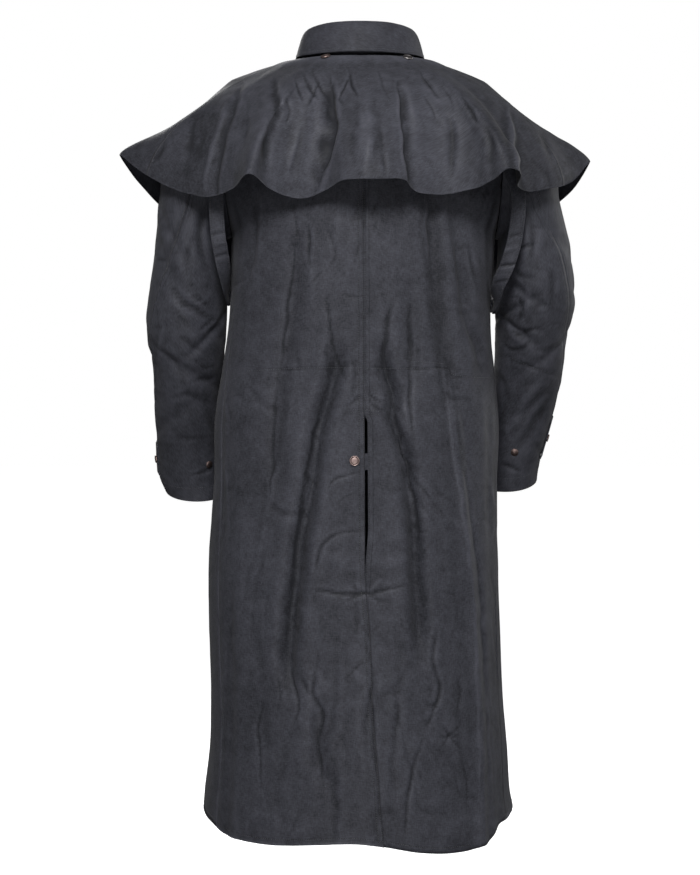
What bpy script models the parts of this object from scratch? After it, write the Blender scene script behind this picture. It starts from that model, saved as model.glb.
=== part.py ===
"""Long duster coat with a shoulder cape, closed, filled out as when worn and hollow inside.

Metres, +Z up. The front of the coat faces -Y and its back +Y. The wearer's left is +X.
The origin is the middle of the neck hole at the seam of the collar.
"""
import math

import bmesh
import bpy
import numpy as np

# driving dimensions
WALL = 0.0015            # cloth
GAP = 0.0003             # between two pieces at a seam
SQUARE = 2.3             # 2 would be an oval section, more is squarer
UNDERARM_Z = -0.275
HEM_Z = -1.187
VENT_TOP_Z = -0.560
VENT_OPEN = 0.0045       # the slit stands open by this
FRONT_LAP = 0.030        # each front passes the middle by this
LAP_RISE = 0.0034        # an overlapping edge lies this much higher
NECK_X, NECK_BACK, NECK_FRONT = 0.087, 0.076, 0.088
SNAP_R, SNAP_H = 0.0076, 0.0026
CUFF_SNAP_R = 0.0062

# the body of the coat, a row per height from the hem to the underarm
BODY_COLUMNS = ("height", "left", "right", "back", "front", "back_edge", "seam_left", "seam_right")
BODY = (
    (-1.215, 0.246, 0.243, 0.218, 0.206, -0.036, 60, 66),
    (-1.180, 0.245, 0.240, 0.217, 0.205, -0.033, 60, 66),
    (-1.149, 0.243, 0.234, 0.215, 0.203, -0.030, 60, 67),
    (-1.079, 0.235, 0.229, 0.211, 0.199, -0.025, 61, 68),
    (-0.994, 0.233, 0.222, 0.204, 0.193, -0.018, 62, 70),
    (-0.891, 0.236, 0.218, 0.195, 0.185, -0.0145, 63, 71),
    (-0.788, 0.236, 0.215, 0.187, 0.177, -0.0066, 64, 72),
    (-0.725, 0.232, 0.214, 0.181, 0.172, -0.0063, 65, 73),
    (-0.660, 0.228, 0.2145, 0.175, 0.167, -0.0061, 66, 74),
    (-0.561, 0.2265, 0.216, 0.167, 0.160, -0.0056, 67, 75),
    (-0.496, 0.2165, 0.211, 0.162, 0.155, -0.0052, 69, 77),
    (-0.442, 0.2085, 0.2055, 0.160, 0.152, -0.0051, 72, 80),
    (-0.378, 0.202, 0.204, 0.159, 0.150, -0.0050, 77, 84),
    (-0.327, 0.201, 0.209, 0.158, 0.149, -0.0048, 83, 87),
    (-0.275, 0.200, 0.212, 0.157, 0.147, -0.0045, 90, 90),
)

# height of the hem of the back, at points across it
BACK_HEM = (
    (-0.242, -1.168), (-0.234, -1.171), (-0.223, -1.175), (-0.208, -1.180), (-0.201, -1.189),
    (-0.1935, -1.1965), (-0.177, -1.202), (-0.138, -1.205), (-0.084, -1.200), (-0.032, -1.190),
    (0.0, -1.186), (0.060, -1.188), (0.144, -1.193), (0.178, -1.192), (0.202, -1.190), (0.223, -1.180),
    (0.242, -1.172), (0.247, -1.168),
)
# the large soft folds of the back, each a run of x and height, with half width and depth
BACK_FOLDS = (
    ("left valley", 0.0185, 0.0150, ((0.036, -0.43), (0.0385, -0.4946), (0.0470, -0.5288),
     (0.0590, -0.5704), (0.0670, -0.6105), (0.0735, -0.664), (0.0830, -0.7155), (0.0905, -0.7495),
     (0.0945, -0.7964), (0.1015, -0.842), (0.1050, -0.889), (0.1085, -0.9229), (0.1040, -0.9523),
     (0.095, -1.00))),
    ("right valley", 0.0170, 0.0135, ((-0.032, -0.43), (-0.0334, -0.4615), (-0.0364, -0.496),
     (-0.0498, -0.532), (-0.0483, -0.567), (-0.0645, -0.6135), (-0.0745, -0.682), (-0.0801, -0.736),
     (-0.0821, -0.790), (-0.0872, -0.864), (-0.088, -0.95))),
    ("left upper valley", 0.020, 0.0060, ((0.094, -0.27), (0.0978, -0.320), (0.1052, -0.438),
     (0.1186, -0.497), (0.126, -0.588), (0.130, -0.70))),
    ("right outer valley", 0.019, 0.0095, ((-0.100, -0.19), (-0.1041, -0.241), (-0.1117, -0.339),
     (-0.1193, -0.423), (-0.1325, -0.498), (-0.139, -0.58))),
    ("right side valley", 0.014, 0.0065, ((-0.134, -0.20), (-0.1397, -0.256), (-0.1556, -0.359),
     (-0.163, -0.4205), (-0.1814, -0.464), (-0.187, -0.53))),
    ("right middle valley", 0.016, 0.0040, ((-0.0776, -0.33), (-0.0776, -0.376), (-0.0736, -0.475),
     (-0.0736, -0.551), (-0.070, -0.60))),
    ("right side ridge", 0.011, -0.0048, ((-0.122, -0.44), (-0.1287, -0.485), (-0.139, -0.557),
     (-0.150, -0.674), (-0.1594, -0.775), (-0.1691, -0.902), (-0.1773, -0.9965), (-0.1785, -1.09),
     (-0.180, -1.19))),
    ("lower left valley", 0.016, 0.0070, ((0.061, -0.95), (0.0598, -0.981), (0.0627, -1.028),
     (0.0598, -1.0765), (0.0466, -1.108), (0.044, -1.14))),
    ("left edge valley", 0.012, 0.0050, ((0.196, -0.80), (0.1985, -0.90), (0.196, -1.00),
     (0.199, -1.10), (0.204, -1.21))),
    ("right edge valley", 0.010, 0.0045, ((-0.197, -0.52), (-0.199, -0.62), (-0.200, -0.75),
     (-0.202, -0.90), (-0.208, -1.05), (-0.213, -1.19))),
)
# the hidden front hangs in plain folds like those of the back
FRONT_FOLDS = (
    ("left front valley", 0.026, 0.0130, ((0.105, -0.36), (0.108, -0.50), (0.115, -0.70),
     (0.124, -0.95), (0.128, -1.20))),
    ("left front side", 0.020, 0.0070, ((0.172, -0.50), (0.176, -0.66), (0.180, -0.85), (0.184, -1.05),
     (0.186, -1.20))),
    ("right front valley", 0.024, 0.0125, ((-0.098, -0.34), (-0.102, -0.52), (-0.110, -0.72),
     (-0.114, -0.92), (-0.120, -1.20))),
    ("right front side", 0.020, 0.0070, ((-0.160, -0.55), (-0.166, -0.70), (-0.170, -0.90),
     (-0.175, -1.10), (-0.177, -1.20))),
)

# the sleeves, a row per ring from the armhole to the cuff: x, y, z, tilt of the ring's long axis, pitch,
# half width, half depth, and the angle of the back seam
SLEEVE_LEFT = (
    (0.2110, 0.000, -0.1695, 84, 0, 0.1055, 0.083, 90),
    (0.2530, 0.002, -0.2060, 62, 0, 0.0860, 0.080, 90),
    (0.2640, 0.000, -0.2520, 38, 0, 0.0640, 0.078, 85),
    (0.2670, -0.003, -0.3180, 16, 4, 0.0580, 0.075, 63),
    (0.2755, -0.012, -0.4140, 0, 9, 0.0625, 0.069, 34),
    (0.2735, -0.030, -0.4750, -4, 14, 0.0550, 0.064, 28),
    (0.2780, -0.055, -0.5350, 0, 16, 0.0515, 0.060, 25),
    (0.2780, -0.083, -0.6000, 0, 18, 0.0505, 0.057, 25),
    (0.2755, -0.101, -0.6500, 2, 18, 0.0525, 0.056, 25),
    (0.2660, -0.108, -0.6810, 2, 18, 0.0500, 0.055, 25),
)
SLEEVE_RIGHT = (
    (0.2170, 0.000, -0.1710, 87.3, 0, 0.1040, 0.083, 90),
    (0.2600, 0.002, -0.2130, 60, 0, 0.0800, 0.080, 90),
    (0.2655, 0.000, -0.2530, 38, 0, 0.0590, 0.078, 78),
    (0.2745, -0.003, -0.3180, 14, 4, 0.0585, 0.076, 51),
    (0.2775, -0.012, -0.3780, 2, 8, 0.0615, 0.070, 38),
    (0.2725, -0.028, -0.4300, -4, 13, 0.0555, 0.065, 30),
    (0.2705, -0.052, -0.4920, 0, 16, 0.0530, 0.061, 27),
    (0.2605, -0.080, -0.5600, 2, 18, 0.0508, 0.057, 25),
    (0.2480, -0.103, -0.6250, 4, 19, 0.0483, 0.055, 25),
    (0.2425, -0.116, -0.6650, 4, 19, 0.0475, 0.054, 25),
)
FRONT_SLEEVE_SEAM = -110
# creases of a sleeve: along it (in rings), round it (degrees), length, width, slant, depth
SLEEVE_CREASES_LEFT = (
    (3.6, 95, 60, 0.20, 0.012, 0.0045), (4.15, 135, 34, 0.16, -0.012, 0.0045),
    (4.6, 60, 55, 0.16, 0.010, 0.0030), (5.2, 110, 60, 0.20, 0.008, 0.0030),
    (2.6, 60, 50, 0.20, 0.012, 0.0030), (6.3, 60, 50, 0.22, -0.010, 0.0025),
    (4.2, -40, 60, 0.20, 0.010, 0.0045), (5.0, -70, 60, 0.22, -0.010, 0.0045),
    (6.6, -60, 60, 0.25, 0.010, 0.0030),
)
SLEEVE_CREASES_RIGHT = (
    (3.5, 130, 40, 0.20, -0.012, 0.0045), (4.2, 135, 36, 0.16, 0.010, 0.0050),
    (4.7, 125, 36, 0.16, -0.010, 0.0045), (5.3, 60, 55, 0.18, 0.010, 0.0030),
    (2.7, 50, 50, 0.22, -0.010, 0.0025), (6.4, 70, 50, 0.22, 0.010, 0.0025),
    (4.4, -50, 60, 0.20, -0.010, 0.0045), (5.4, -70, 60, 0.22, 0.012, 0.0040),
    (7.2, -50, 60, 0.25, 0.010, 0.0030),
)

# the hem of the cape, a row per turn of its waves from the left front edge round the back: x, y, z and
# fall, which is 1 for a straight slope and more where the cloth drops over the shoulder blade
CAPE_HEM = (
    (0.0040, -0.196, -0.285, 2.3),
    (0.0450, -0.190, -0.283, 2.3),
    (0.0900, -0.178, -0.278, 2.4),
    (0.1250, -0.182, -0.272, 2.1),
    (0.1550, -0.196, -0.262, 1.7),
    (0.1900, -0.160, -0.262, 1.9),
    (0.2250, -0.146, -0.258, 1.9),
    (0.2650, -0.150, -0.243, 2.0),
    (0.3000, -0.115, -0.233, 2.0),
    (0.3244, -0.090, -0.2169, 1.85),
    (0.3440, -0.068, -0.1970, 1.65),
    (0.3637, -0.040, -0.1740, 1.45),
    (0.3790, 0.000, -0.1485, 1.25),
    (0.3442, 0.040, -0.1785, 1.5),
    (0.2964, 0.080, -0.2093, 1.75),
    (0.2537, 0.112, -0.2274, 1.95),
    (0.2234, 0.130, -0.2326, 2.0),
    (0.1890, 0.163, -0.2257, 1.8),
    (0.1627, 0.212, -0.2113, 1.35),
    (0.1373, 0.182, -0.2270, 1.8),
    (0.1093, 0.168, -0.2377, 2.3),
    (0.0811, 0.168, -0.2404, 2.4),
    (0.0467, 0.186, -0.2292, 1.9),
    (0.0231, 0.214, -0.2204, 1.45),
    (-0.0204, 0.224, -0.2205, 1.35),
    (-0.0613, 0.214, -0.2197, 1.4),
    (-0.0784, 0.186, -0.2321, 2.0),
    (-0.0965, 0.176, -0.2351, 2.3),
    (-0.1236, 0.170, -0.2352, 2.3),
    (-0.1500, 0.172, -0.2310, 2.1),
    (-0.1759, 0.180, -0.2255, 1.9),
    (-0.1982, 0.194, -0.2145, 1.6),
    (-0.2168, 0.200, -0.2015, 1.4),
    (-0.2340, 0.184, -0.2080, 1.45),
    (-0.2335, 0.146, -0.2196, 1.75),
    (-0.2514, 0.124, -0.2242, 1.9),
    (-0.2690, 0.109, -0.2205, 1.85),
    (-0.2927, 0.090, -0.2138, 1.75),
    (-0.3112, 0.070, -0.2078, 1.65),
    (-0.3344, 0.040, -0.1925, 1.5),
    (-0.3626, 0.000, -0.1590, 1.25),
    (-0.3570, -0.040, -0.1740, 1.45),
    (-0.3440, -0.070, -0.1937, 1.65),
    (-0.3231, -0.092, -0.2120, 1.85),
    (-0.2950, -0.118, -0.2310, 2.0),
    (-0.2550, -0.150, -0.2430, 2.0),
    (-0.2150, -0.146, -0.2560, 1.9),
    (-0.1800, -0.168, -0.2600, 1.8),
    (-0.1450, -0.196, -0.2620, 1.7),
    (-0.1100, -0.180, -0.2740, 2.2),
    (-0.0600, -0.184, -0.2820, 2.3),
    (-0.0040, -0.196, -0.2850, 2.3),
)
CAPE_NECK_ROWS = (0, 12, 40, 51)        # rows at the front edge, left tip, right tip, front edge
CAPE_NECK_ANGLES = (178, 90, -90, -178)
CAPE_SEAM_LEFT, CAPE_SEAM_RIGHT = 13.35, 38.0

# the collar: angle from the back, height of its fold and of its edge, how far the edge stands out
COLLAR_COLUMNS = ("angle", "fold", "edge", "out", "stand")
COLLAR = (
    (0, 0.0420, -0.0060, 0.0180, -0.0130),
    (40, 0.0420, -0.0045, 0.0175, -0.0110),
    (65, 0.0390, -0.0015, 0.0155, -0.0080),
    (90, 0.0280, 0.0002, 0.0135, -0.0040),
    (120, 0.0080, -0.0170, 0.0200, -0.0270),
    (150, -0.0240, -0.0500, 0.0340, -0.0600),
    (172, -0.0500, -0.0800, 0.0450, -0.0860),
)

# straps that come from under the cape, hang loose round the underarm and go up to the front of the cape:
# x, y, z, and how far the strap has turned
STRAP_WIDE = 0.0225
STRAP_LEFT = (
    (0.2165, 0.0872, -0.172, -12.7), (0.2195, 0.0985, -0.224, 0), (0.2174, 0.0960, -0.281, 0),
    (0.2125, 0.0860, -0.315, 12), (0.2082, 0.0640, -0.350, 60), (0.2072, 0.0300, -0.372, 88),
    (0.2072, -0.0150, -0.374, 90), (0.2075, -0.0560, -0.352, 92), (0.2100, -0.0880, -0.312, 140),
    (0.2150, -0.0975, -0.250, 178), (0.2165, -0.0866, -0.172, 193.5),
)
STRAP_RIGHT = (
    (-0.2215, 0.0880, -0.172, 20.0), (-0.2400, 0.0990, -0.222, 2), (-0.2367, 0.0960, -0.285, 0),
    (-0.2252, 0.0865, -0.330, -10), (-0.2120, 0.0700, -0.362, -44), (-0.2098, 0.0320, -0.386, -88),
    (-0.2098, -0.0150, -0.386, -90), (-0.2100, -0.0540, -0.362, -92), (-0.2160, -0.0880, -0.320, -140),
    (-0.2230, -0.0975, -0.252, -180), (-0.2215, -0.0882, -0.172, -195.0),
)

# how finely the pieces are divided: rows below and above the underarm, and columns
BACK_GRID, FRONT_GRID = (23, 7, 18), (23, 7, 9)
SLEEVE_RINGS, SLEEVE_POINTS = 19, 9
CAPE_ROWS, CAPE_SIDE_COLS, CAPE_BACK_COLS = 8, 24, 54
COLLAR_COLS, STRAP_ROWS = 33, 20
COLLAR_END, STAND_END = 170.5, 171.5    # the collar's parts stop at these angles, either side of the front

# small parts and how far each is clear of the cloth under it
SEAT = 0.0004            # between a snap and the cloth
TAB_LIFT = 0.0005        # between a cuff tab and its sleeve
TAB_RINGS, TAB_FROM = (14, 17), 3       # the rings and the first point of the sleeve that a tab lies on
TAB_SNAP_AT = (1.0, 4.2)                # rows and columns on its tab
CUFF_SNAP_AT = {1: (14.9, 3.8), -1: (15.2, 2.5)}     # rows and columns on the under sleeve
HOOD_SNAP_X = {"left": 0.0492, "right": -0.0678}
HOOD_SNAP_ROW = 0.60
VENT_TAB_Z, VENT_TAB_X = (-0.643, -0.618), 0.026
VENT_SNAP_AT = (0.0090, -0.6297)
FRONT_SNAP_Z = (-0.31, -0.43, -0.55, -0.67, -0.79, -0.91)
FRONT_SNAP_COL = 1.2


def smooth(knots, values, at):
    """A smooth curve through the rows of a table."""
    knots, values = np.asarray(knots, float), np.asarray(values, float)
    at = np.clip(np.asarray(at, float), knots[0], knots[-1])
    slope = np.gradient(values, knots, axis=0)
    i = np.clip(np.searchsorted(knots, at, side="right") - 1, 0, len(knots) - 2)
    h = knots[i + 1] - knots[i]
    t = (at - knots[i]) / h
    if values.ndim > 1:
        t, h = t[..., None], h[..., None]
    a, b, m, n = values[i], values[i + 1], slope[i] * h, slope[i + 1] * h
    late = 3 * t**2 - 2 * t**3
    return (1 - late) * a + (t**3 - 2 * t**2 + t) * m + late * b + (t**3 - t**2) * n


def column(table, columns, name):
    return np.array([row[columns.index(name)] for row in table], float)


def step(low, high, at):
    t = np.clip((np.asarray(at, float) - low) / (high - low), 0, 1)
    return t * t * (3 - 2 * t)


def body_size(name, z):
    return smooth(column(BODY, BODY_COLUMNS, "height"), column(BODY, BODY_COLUMNS, name), z)


def hem_height(x, y):
    """The hem dips right of the middle at the back and rises at the sides."""
    back = smooth([row[0] for row in BACK_HEM], [row[1] for row in BACK_HEM], x)
    share = step(-0.08, 0.05, y)
    return HEM_Z * (1 - share) + back * share


def section(angle, z):
    """A point of the section at height z; 0 is the middle of the back and 90 the wearer's left."""
    a = np.radians(angle)
    wide = np.where(np.sin(a) >= 0, body_size("left", z), body_size("right", z))
    deep = np.where(np.cos(a) >= 0, body_size("back", z), body_size("front", z))
    s, c = np.sin(a), np.cos(a)
    x = wide * np.sign(s) * np.abs(s) ** (2 / SQUARE)
    y = deep * np.sign(c) * np.abs(c) ** (2 / SQUARE)
    return np.stack([x, y, np.broadcast_to(z, x.shape)], -1)


def angle_of(x, z):
    """The angle of the back at which the section passes x."""
    wide = np.where(x >= 0, body_size("left", z), body_size("right", z))
    return np.degrees(np.sign(x) * np.arcsin(np.clip(np.abs(x) / wide, 0, 1) ** (SQUARE / 2)))


def fold_depth(folds, x, z):
    total = np.zeros(np.broadcast(x, z).shape)
    for _, wide, deep, run in folds:
        run = np.array(sorted((h, v) for v, h in run))
        centre = smooth(run[:, 0], run[:, 1], z)
        ends = step(run[0, 0], run[0, 0] + 0.09, z) * (1 - step(run[-1, 0] - 0.08, run[-1, 0], z))
        if run[0, 0] < -1.15:
            ends = 1 - step(run[-1, 0] - 0.08, run[-1, 0], z)
        q = (x - centre) / wide
        total = total - deep * ends * (1 - 1.1 * q * q) * np.exp(-q * q)
    return total


def normals(grid):
    across = np.gradient(grid, axis=1)
    along = np.gradient(grid, axis=0)
    n = np.cross(across, along)
    return n / np.maximum(np.linalg.norm(n, axis=2, keepdims=True), 1e-12)


def trim(grid, first=0.0, last=0.0, low=0.0, high=0.0):
    """Draws the edges of a piece back from its seams."""
    g = grid.copy()
    for a, b, d in ((np.s_[:, 0], np.s_[:, 1], first), (np.s_[:, -1], np.s_[:, -2], last),
                    (np.s_[0, :], np.s_[1, :], low), (np.s_[-1, :], np.s_[-2, :], high)):
        if d:
            way = g[b] - g[a]
            g[a] = g[a] + way / np.maximum(np.linalg.norm(way, axis=-1, keepdims=True), 1e-9) * d
    return g


def arm_loop(side, angle):
    """The armhole, flat and nearly upright; 0 is the shoulder and 90 its back."""
    x, y, z, tilt, _, wide, deep, _ = (SLEEVE_LEFT if side > 0 else SLEEVE_RIGHT)[0]
    a, t = np.radians(angle), math.radians(tilt)
    c, s = np.cos(a), np.sin(a)
    return np.stack([side * (x + wide * c * math.cos(t)), y + deep * s, z + wide * c * math.sin(t)], -1)


def neck(angle, grow=0.0, lift=0.0):
    """The neck hole; 0 is the back and 180 the front."""
    a = np.radians(angle)
    deep = np.where(np.cos(a) >= 0, NECK_BACK, NECK_FRONT) + grow
    z = smooth((0, 60, 90, 130, 180), (-0.013, -0.009, -0.004, -0.036, -0.088), np.abs(angle)) + lift
    return np.stack([(NECK_X + grow) * np.sin(a), deep * np.cos(a), z], -1)


def panel(side, face, rows_low, rows_high, cols):
    """Half of the back (face 1) or of the front (face -1), from the middle edge to the side."""
    u = np.linspace(0, 1, cols)
    v = np.linspace(0, 1, rows_low) ** 0.92
    z0 = HEM_Z + (UNDERARM_Z - HEM_Z) * v[:, None] + 0 * u[None, :]
    seam = body_size("seam_left" if side > 0 else "seam_right", z0)
    if face > 0:
        first = angle_of(body_size("back_edge", z0[:, :1]) + back_edge_shift(side, z0[:, :1]), z0[:, :1])
        angle = first + (side * seam - first) * u
    else:
        angle = side * (180 + (seam - 180) * u)
    for _ in range(2):
        flat = section(angle, z0)
        z0 = hem_height(flat[..., 0], flat[..., 1]) * (1 - v[:, None]) + UNDERARM_Z * v[:, None]
    low = section(angle, z0)

    # the net from the underarm up to the neck and the shoulder, between its four edges
    t = np.linspace(0, 1, rows_high + 1)
    bottom = low[-1]
    share = 0.40 if face > 0 else 0.50
    on_neck = np.clip(u / share, 0, 1)
    if face > 0:
        start = math.degrees(math.asin(max(min(float(bottom[0, 0]) / NECK_X, 1), -1)))
        top = neck(start + (side * 90 - start) * on_neck)
    else:
        top = neck(side * (180 - 90 * on_neck))
    shoulder = arm_loop(side, np.array(0.0))
    on_shoulder = np.clip((u - share) / (1 - share), 0, 1)[:, None]
    point = neck(np.array(side * 90.0))
    line = point + (shoulder - point) * on_shoulder
    line[:, 2] += 0.004 * np.sin(math.pi * on_shoulder[:, 0])
    top = np.where(u[:, None] > share, line, top)
    middle = bottom[0] + (top[0] - bottom[0]) * t[:, None]
    middle[:, 1] += face * (0.041 if face > 0 else 0.026) * np.sin(math.pi * t**1.35)
    arm = arm_loop(side, face * 180 * (1 - t))
    tt, uu = t[:, None, None], u[None, :, None]
    net = ((1 - tt) * bottom[None] + tt * top[None] + (1 - uu) * middle[:, None] + uu * arm[:, None]
           - (1 - tt) * (1 - uu) * bottom[0] - (1 - tt) * uu * bottom[-1]
           - tt * (1 - uu) * top[0] - tt * uu * top[-1])
    grid = np.concatenate([low, net[1:]], 0)
    join = rows_low - 1
    for _ in range(2):
        soft = grid.copy()
        for r in (join - 1, join, join + 1):
            soft[r, 1:-1] = grid[r, 1:-1] * 0.5 + (grid[r - 1, 1:-1] + grid[r + 1, 1:-1]) * 0.25
        grid = soft

    if face < 0:
        past = [[[np.interp(w, np.abs(row[:, 0]), row[:, i]) * (-1 if i == 0 else 1) for i in range(3)]
                 for w in (FRONT_LAP, FRONT_LAP / 2)] for row in grid]
        grid = np.concatenate([np.array(past), grid], 1)
        u = np.concatenate([[0, 0], u])

    n = normals(grid)
    n *= np.sign((n[..., :2] * grid[..., :2]).sum(-1, keepdims=True).sum())
    x, z = grid[..., 0], grid[..., 2]
    push = fold_depth(BACK_FOLDS if face > 0 else FRONT_FOLDS, x, z)
    push = push * (1 - step(0.75, 1.0, np.abs(u)[None, :]))
    push = push * (1 - step(-0.22, -0.12, z))
    if face > 0 and side > 0:
        push = push + LAP_RISE * np.exp(-((u * 0.24 / 0.035) ** 2)) * (1 - step(-0.83, -0.72, z))
    if face < 0 and side > 0:
        push = push + LAP_RISE * (1 - step(0.034, 0.062, x))
    return grid + n * push[..., None]


def back_edge_shift(side, z):
    """Where the middle edges of the back part at the vent; the left one lies over the other below."""
    open_ = step(-0.80, -0.73, z) * (1 - step(VENT_TOP_Z - 0.012, VENT_TOP_Z, z))
    over = 1 - step(-0.86, -0.79, z)
    return 0 * z if side > 0 else -VENT_OPEN * open_ + 0.009 * over


def back_skin(x, z, out=0.0):
    """A point on the inside face of the back and the way out from it."""
    def at(x, z):
        p = section(angle_of(np.array(x), np.array(z)), np.array(z))
        e = 1e-4
        q = section(angle_of(np.array(x + e), np.array(z)), np.array(z)) - p
        r = section(angle_of(np.array(x), np.array(z + e)), np.array(z + e)) - p
        n = np.cross(r, q)
        n = n / np.linalg.norm(n)
        n = n * np.sign(n[1])
        return p + n * float(fold_depth(BACK_FOLDS, np.array(x), np.array(z))), n
    p, n = at(x, z)
    e = 2e-3
    a = at(x + e, z)[0] - at(x - e, z)[0]
    b = at(x, z + e)[0] - at(x, z - e)[0]
    n = np.cross(b, a)
    n = n / np.linalg.norm(n) * np.sign(np.cross(b, a)[1])
    return p + n * out, n


def sleeve(side, angles, rows, out=0.0, span=(0.0, None), creases=True):
    """Rings of a sleeve; angles is a function of the ring that gives those of its points."""
    table, folds = (SLEEVE_LEFT, SLEEVE_CREASES_LEFT) if side > 0 else (SLEEVE_RIGHT, SLEEVE_CREASES_RIGHT)
    marks = np.arange(len(table), dtype=float)
    last = span[1] if span[1] is not None else len(table) - 1
    k = span[0] + (last - span[0]) * np.linspace(0, 1, rows)
    x, y, z, tilt, pitch, wide, deep, seam = smooth(marks, np.array(table, float), k).T
    rings = []
    for i in range(rows):
        a = angles(seam[i])
        t, p = math.radians(tilt[i]), math.radians(pitch[i])
        grow = 0.0
        if creases:
            for ka, around, long, width, slant, depth in folds:
                da = (a - around + 180) % 360 - 180
                q = (k[i] - ka - slant * da) / width
                grow = grow - depth * (1 - 0.9 * q * q) * np.exp(-q * q - (da / long) ** 2)
            cuff = len(table) - 1.2
            grow = grow * step(0.4, 1.6, k[i]) * (1 - step(cuff - 1, cuff, k[i]))
        c = np.cos(np.radians(a)) * (wide[i] + grow + out)
        s = np.sin(np.radians(a)) * (deep[i] + grow + out)
        ring = np.stack([side * (x[i] + c * math.cos(t)), y[i] + s * math.cos(p),
                         z[i] + c * math.sin(t) - s * math.sin(p)], -1)
        start = 1 - step(0.0, 0.7, k[i])
        ring[:, 0] += side * start * (GAP + 0.0005 + 0.0026 * (1 - np.cos(np.radians(a))) / 2)
        ring[:, 2] -= start * 0.0012 * np.clip(-np.cos(np.radians(a)), 0, 1)
        rings.append(ring)
    return np.array(rings)


def cape(first, last, cols, rows):
    """A part of the cape between two rows of its hem table, from the neck to the hem."""
    hem = np.array(CAPE_HEM, float)
    marks = np.arange(len(hem), dtype=float)
    fine = np.linspace(0, len(hem) - 1, 1200)
    steps = np.linalg.norm(np.diff(smooth(marks, hem[:, :3], fine), axis=0), axis=1)
    run = np.concatenate([[0], np.cumsum(steps)])
    ends = np.interp((first, last), fine, run)
    length = np.interp(np.linspace(*ends, cols), run, fine)
    edge = smooth(marks, hem, length)
    at_rows = np.interp(np.array(CAPE_NECK_ROWS, float), fine, run)
    angle = np.interp(np.interp(length, fine, run), at_rows, CAPE_NECK_ANGLES)
    over_lap = 0.0042 * step(115, 145, np.abs(angle))
    top = neck(angle, 0.0014 + over_lap, 0.0021 + over_lap)
    t = np.linspace(0, 1, rows)[:, None]
    fall = edge[:, 3][None]
    reach = 1 - (1 - t) ** fall
    near_tip = np.exp(-((np.abs(angle) - 90) / 10) ** 2)
    beyond = np.clip((reach - 0.40) / 0.60, 0, 1)
    bulge = np.where(angle > 0, 0.17, 0.13) * near_tip
    drop = t ** (1.3 + 0.1 * near_tip) + bulge * np.sin(math.pi * beyond)
    grid = np.empty((rows, cols, 3))
    for axis in (0, 1):
        grid[..., axis] = top[:, axis] + (edge[:, axis] - top[:, axis]) * reach
    grid[..., 2] = top[:, 2] + (edge[:, 2] - top[:, 2]) * drop
    return grid


def collar_ring(angle, name):
    knots, values = (column(COLLAR, COLLAR_COLUMNS, c) for c in ("angle", name))
    return smooth(knots, values, np.abs(angle))


def collar_fall(cols, rows):
    """The part of the collar that folds over and stands a little away from the coat."""
    angle = np.linspace(-COLLAR_END, COLLAR_END, cols)
    fold, edge, out = (collar_ring(angle, c) for c in ("fold", "edge", "out"))
    roll = ((-0.0025, -0.0030), (-0.0012, 0.0000), (0.0012, 0.0012), (0.0042, -0.0004))
    grid = []
    for o, h in roll:
        p = neck(angle, o)
        p[:, 2] = fold + h
        grid.append(p)
    for t in np.linspace(0, 1, rows)[1:]:
        p = neck(angle, 0.0042 + (out - 0.0042) * t**0.8)
        p[:, 2] = fold - 0.0004 + (edge - fold) * t
        grid.append(p)
    return np.array(grid)


def collar_stand(cols, rows):
    angle = np.linspace(-STAND_END, STAND_END, cols)
    fold, low = collar_ring(angle, "fold"), collar_ring(angle, "stand")
    grid = []
    for t in np.linspace(0, 1, rows):
        p = neck(angle, -0.0032)
        p[:, 2] = low - 0.003 + (fold - 0.0042 - low + 0.003) * t
        grid.append(p)
    return np.array(grid)


def strap(table, rows, cols):
    marks = np.arange(len(table), dtype=float)
    x, y, z, turn = smooth(marks, np.array(table, float), np.linspace(0, len(table) - 1, rows)).T
    t = np.radians(turn)
    across = np.stack([np.cos(t), np.sin(t), 0 * t], -1)
    line = np.stack([x, y, z], -1)
    way = np.gradient(line, axis=0)
    way /= np.linalg.norm(way, axis=1, keepdims=True)
    across -= way * (across * way).sum(1, keepdims=True)
    across /= np.linalg.norm(across, axis=1, keepdims=True)
    w = np.linspace(-0.5, 0.5, cols) * STRAP_WIDE
    return line[:, None] + across[:, None] * w[None, :, None]


def material(name, colour, rough, metal=0.0):
    m = bpy.data.materials.new(name)
    m.use_nodes = True
    b = m.node_tree.nodes["Principled BSDF"]
    b.inputs["Base Color"].default_value = (*colour, 1)
    b.inputs["Roughness"].default_value = rough
    b.inputs["Metallic"].default_value = metal
    m.diffuse_color = (*colour, 1)
    return m


def solid(name, verts, faces, mat):
    mesh = bpy.data.meshes.new(name)
    mesh.from_pydata([tuple(v) for v in verts], [], faces)
    ob = bpy.data.objects.new(name, mesh)
    bpy.context.scene.collection.objects.link(ob)
    mesh.materials.append(mat)
    bm = bmesh.new()
    bm.from_mesh(mesh)
    bmesh.ops.recalc_face_normals(bm, faces=bm.faces)
    bmesh.ops.triangulate(bm, faces=bm.faces)
    bm.to_mesh(mesh)
    bm.free()
    return ob


def wall(name, grid, mat, away):
    """A cloth wall that grows outward from the points of its inside face."""
    n = normals(grid)
    if (n * (grid - away)).sum() < 0:
        n = -n
    rows, cols = grid.shape[:2]
    inner, outer = grid.reshape(-1, 3), (grid + n * WALL).reshape(-1, 3)
    off = rows * cols
    ids = np.arange(off).reshape(rows, cols)
    faces = []
    for r in range(rows - 1):
        for c in range(cols - 1):
            q = tuple(int(i) for i in (ids[r, c], ids[r, c + 1], ids[r + 1, c + 1], ids[r + 1, c]))
            faces.append(q[::-1])
            faces.append(tuple(i + off for i in q))
    rim = [int(i) for i in np.concatenate([ids[0, :], ids[1:, -1], ids[-1, -2::-1], ids[-2:0:-1, 0]])]
    for a, b in zip(rim, rim[1:] + rim[:1]):
        faces.append((a, b, b + off, a + off))
    return solid(name, np.concatenate([inner, outer]), faces, mat)


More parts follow.
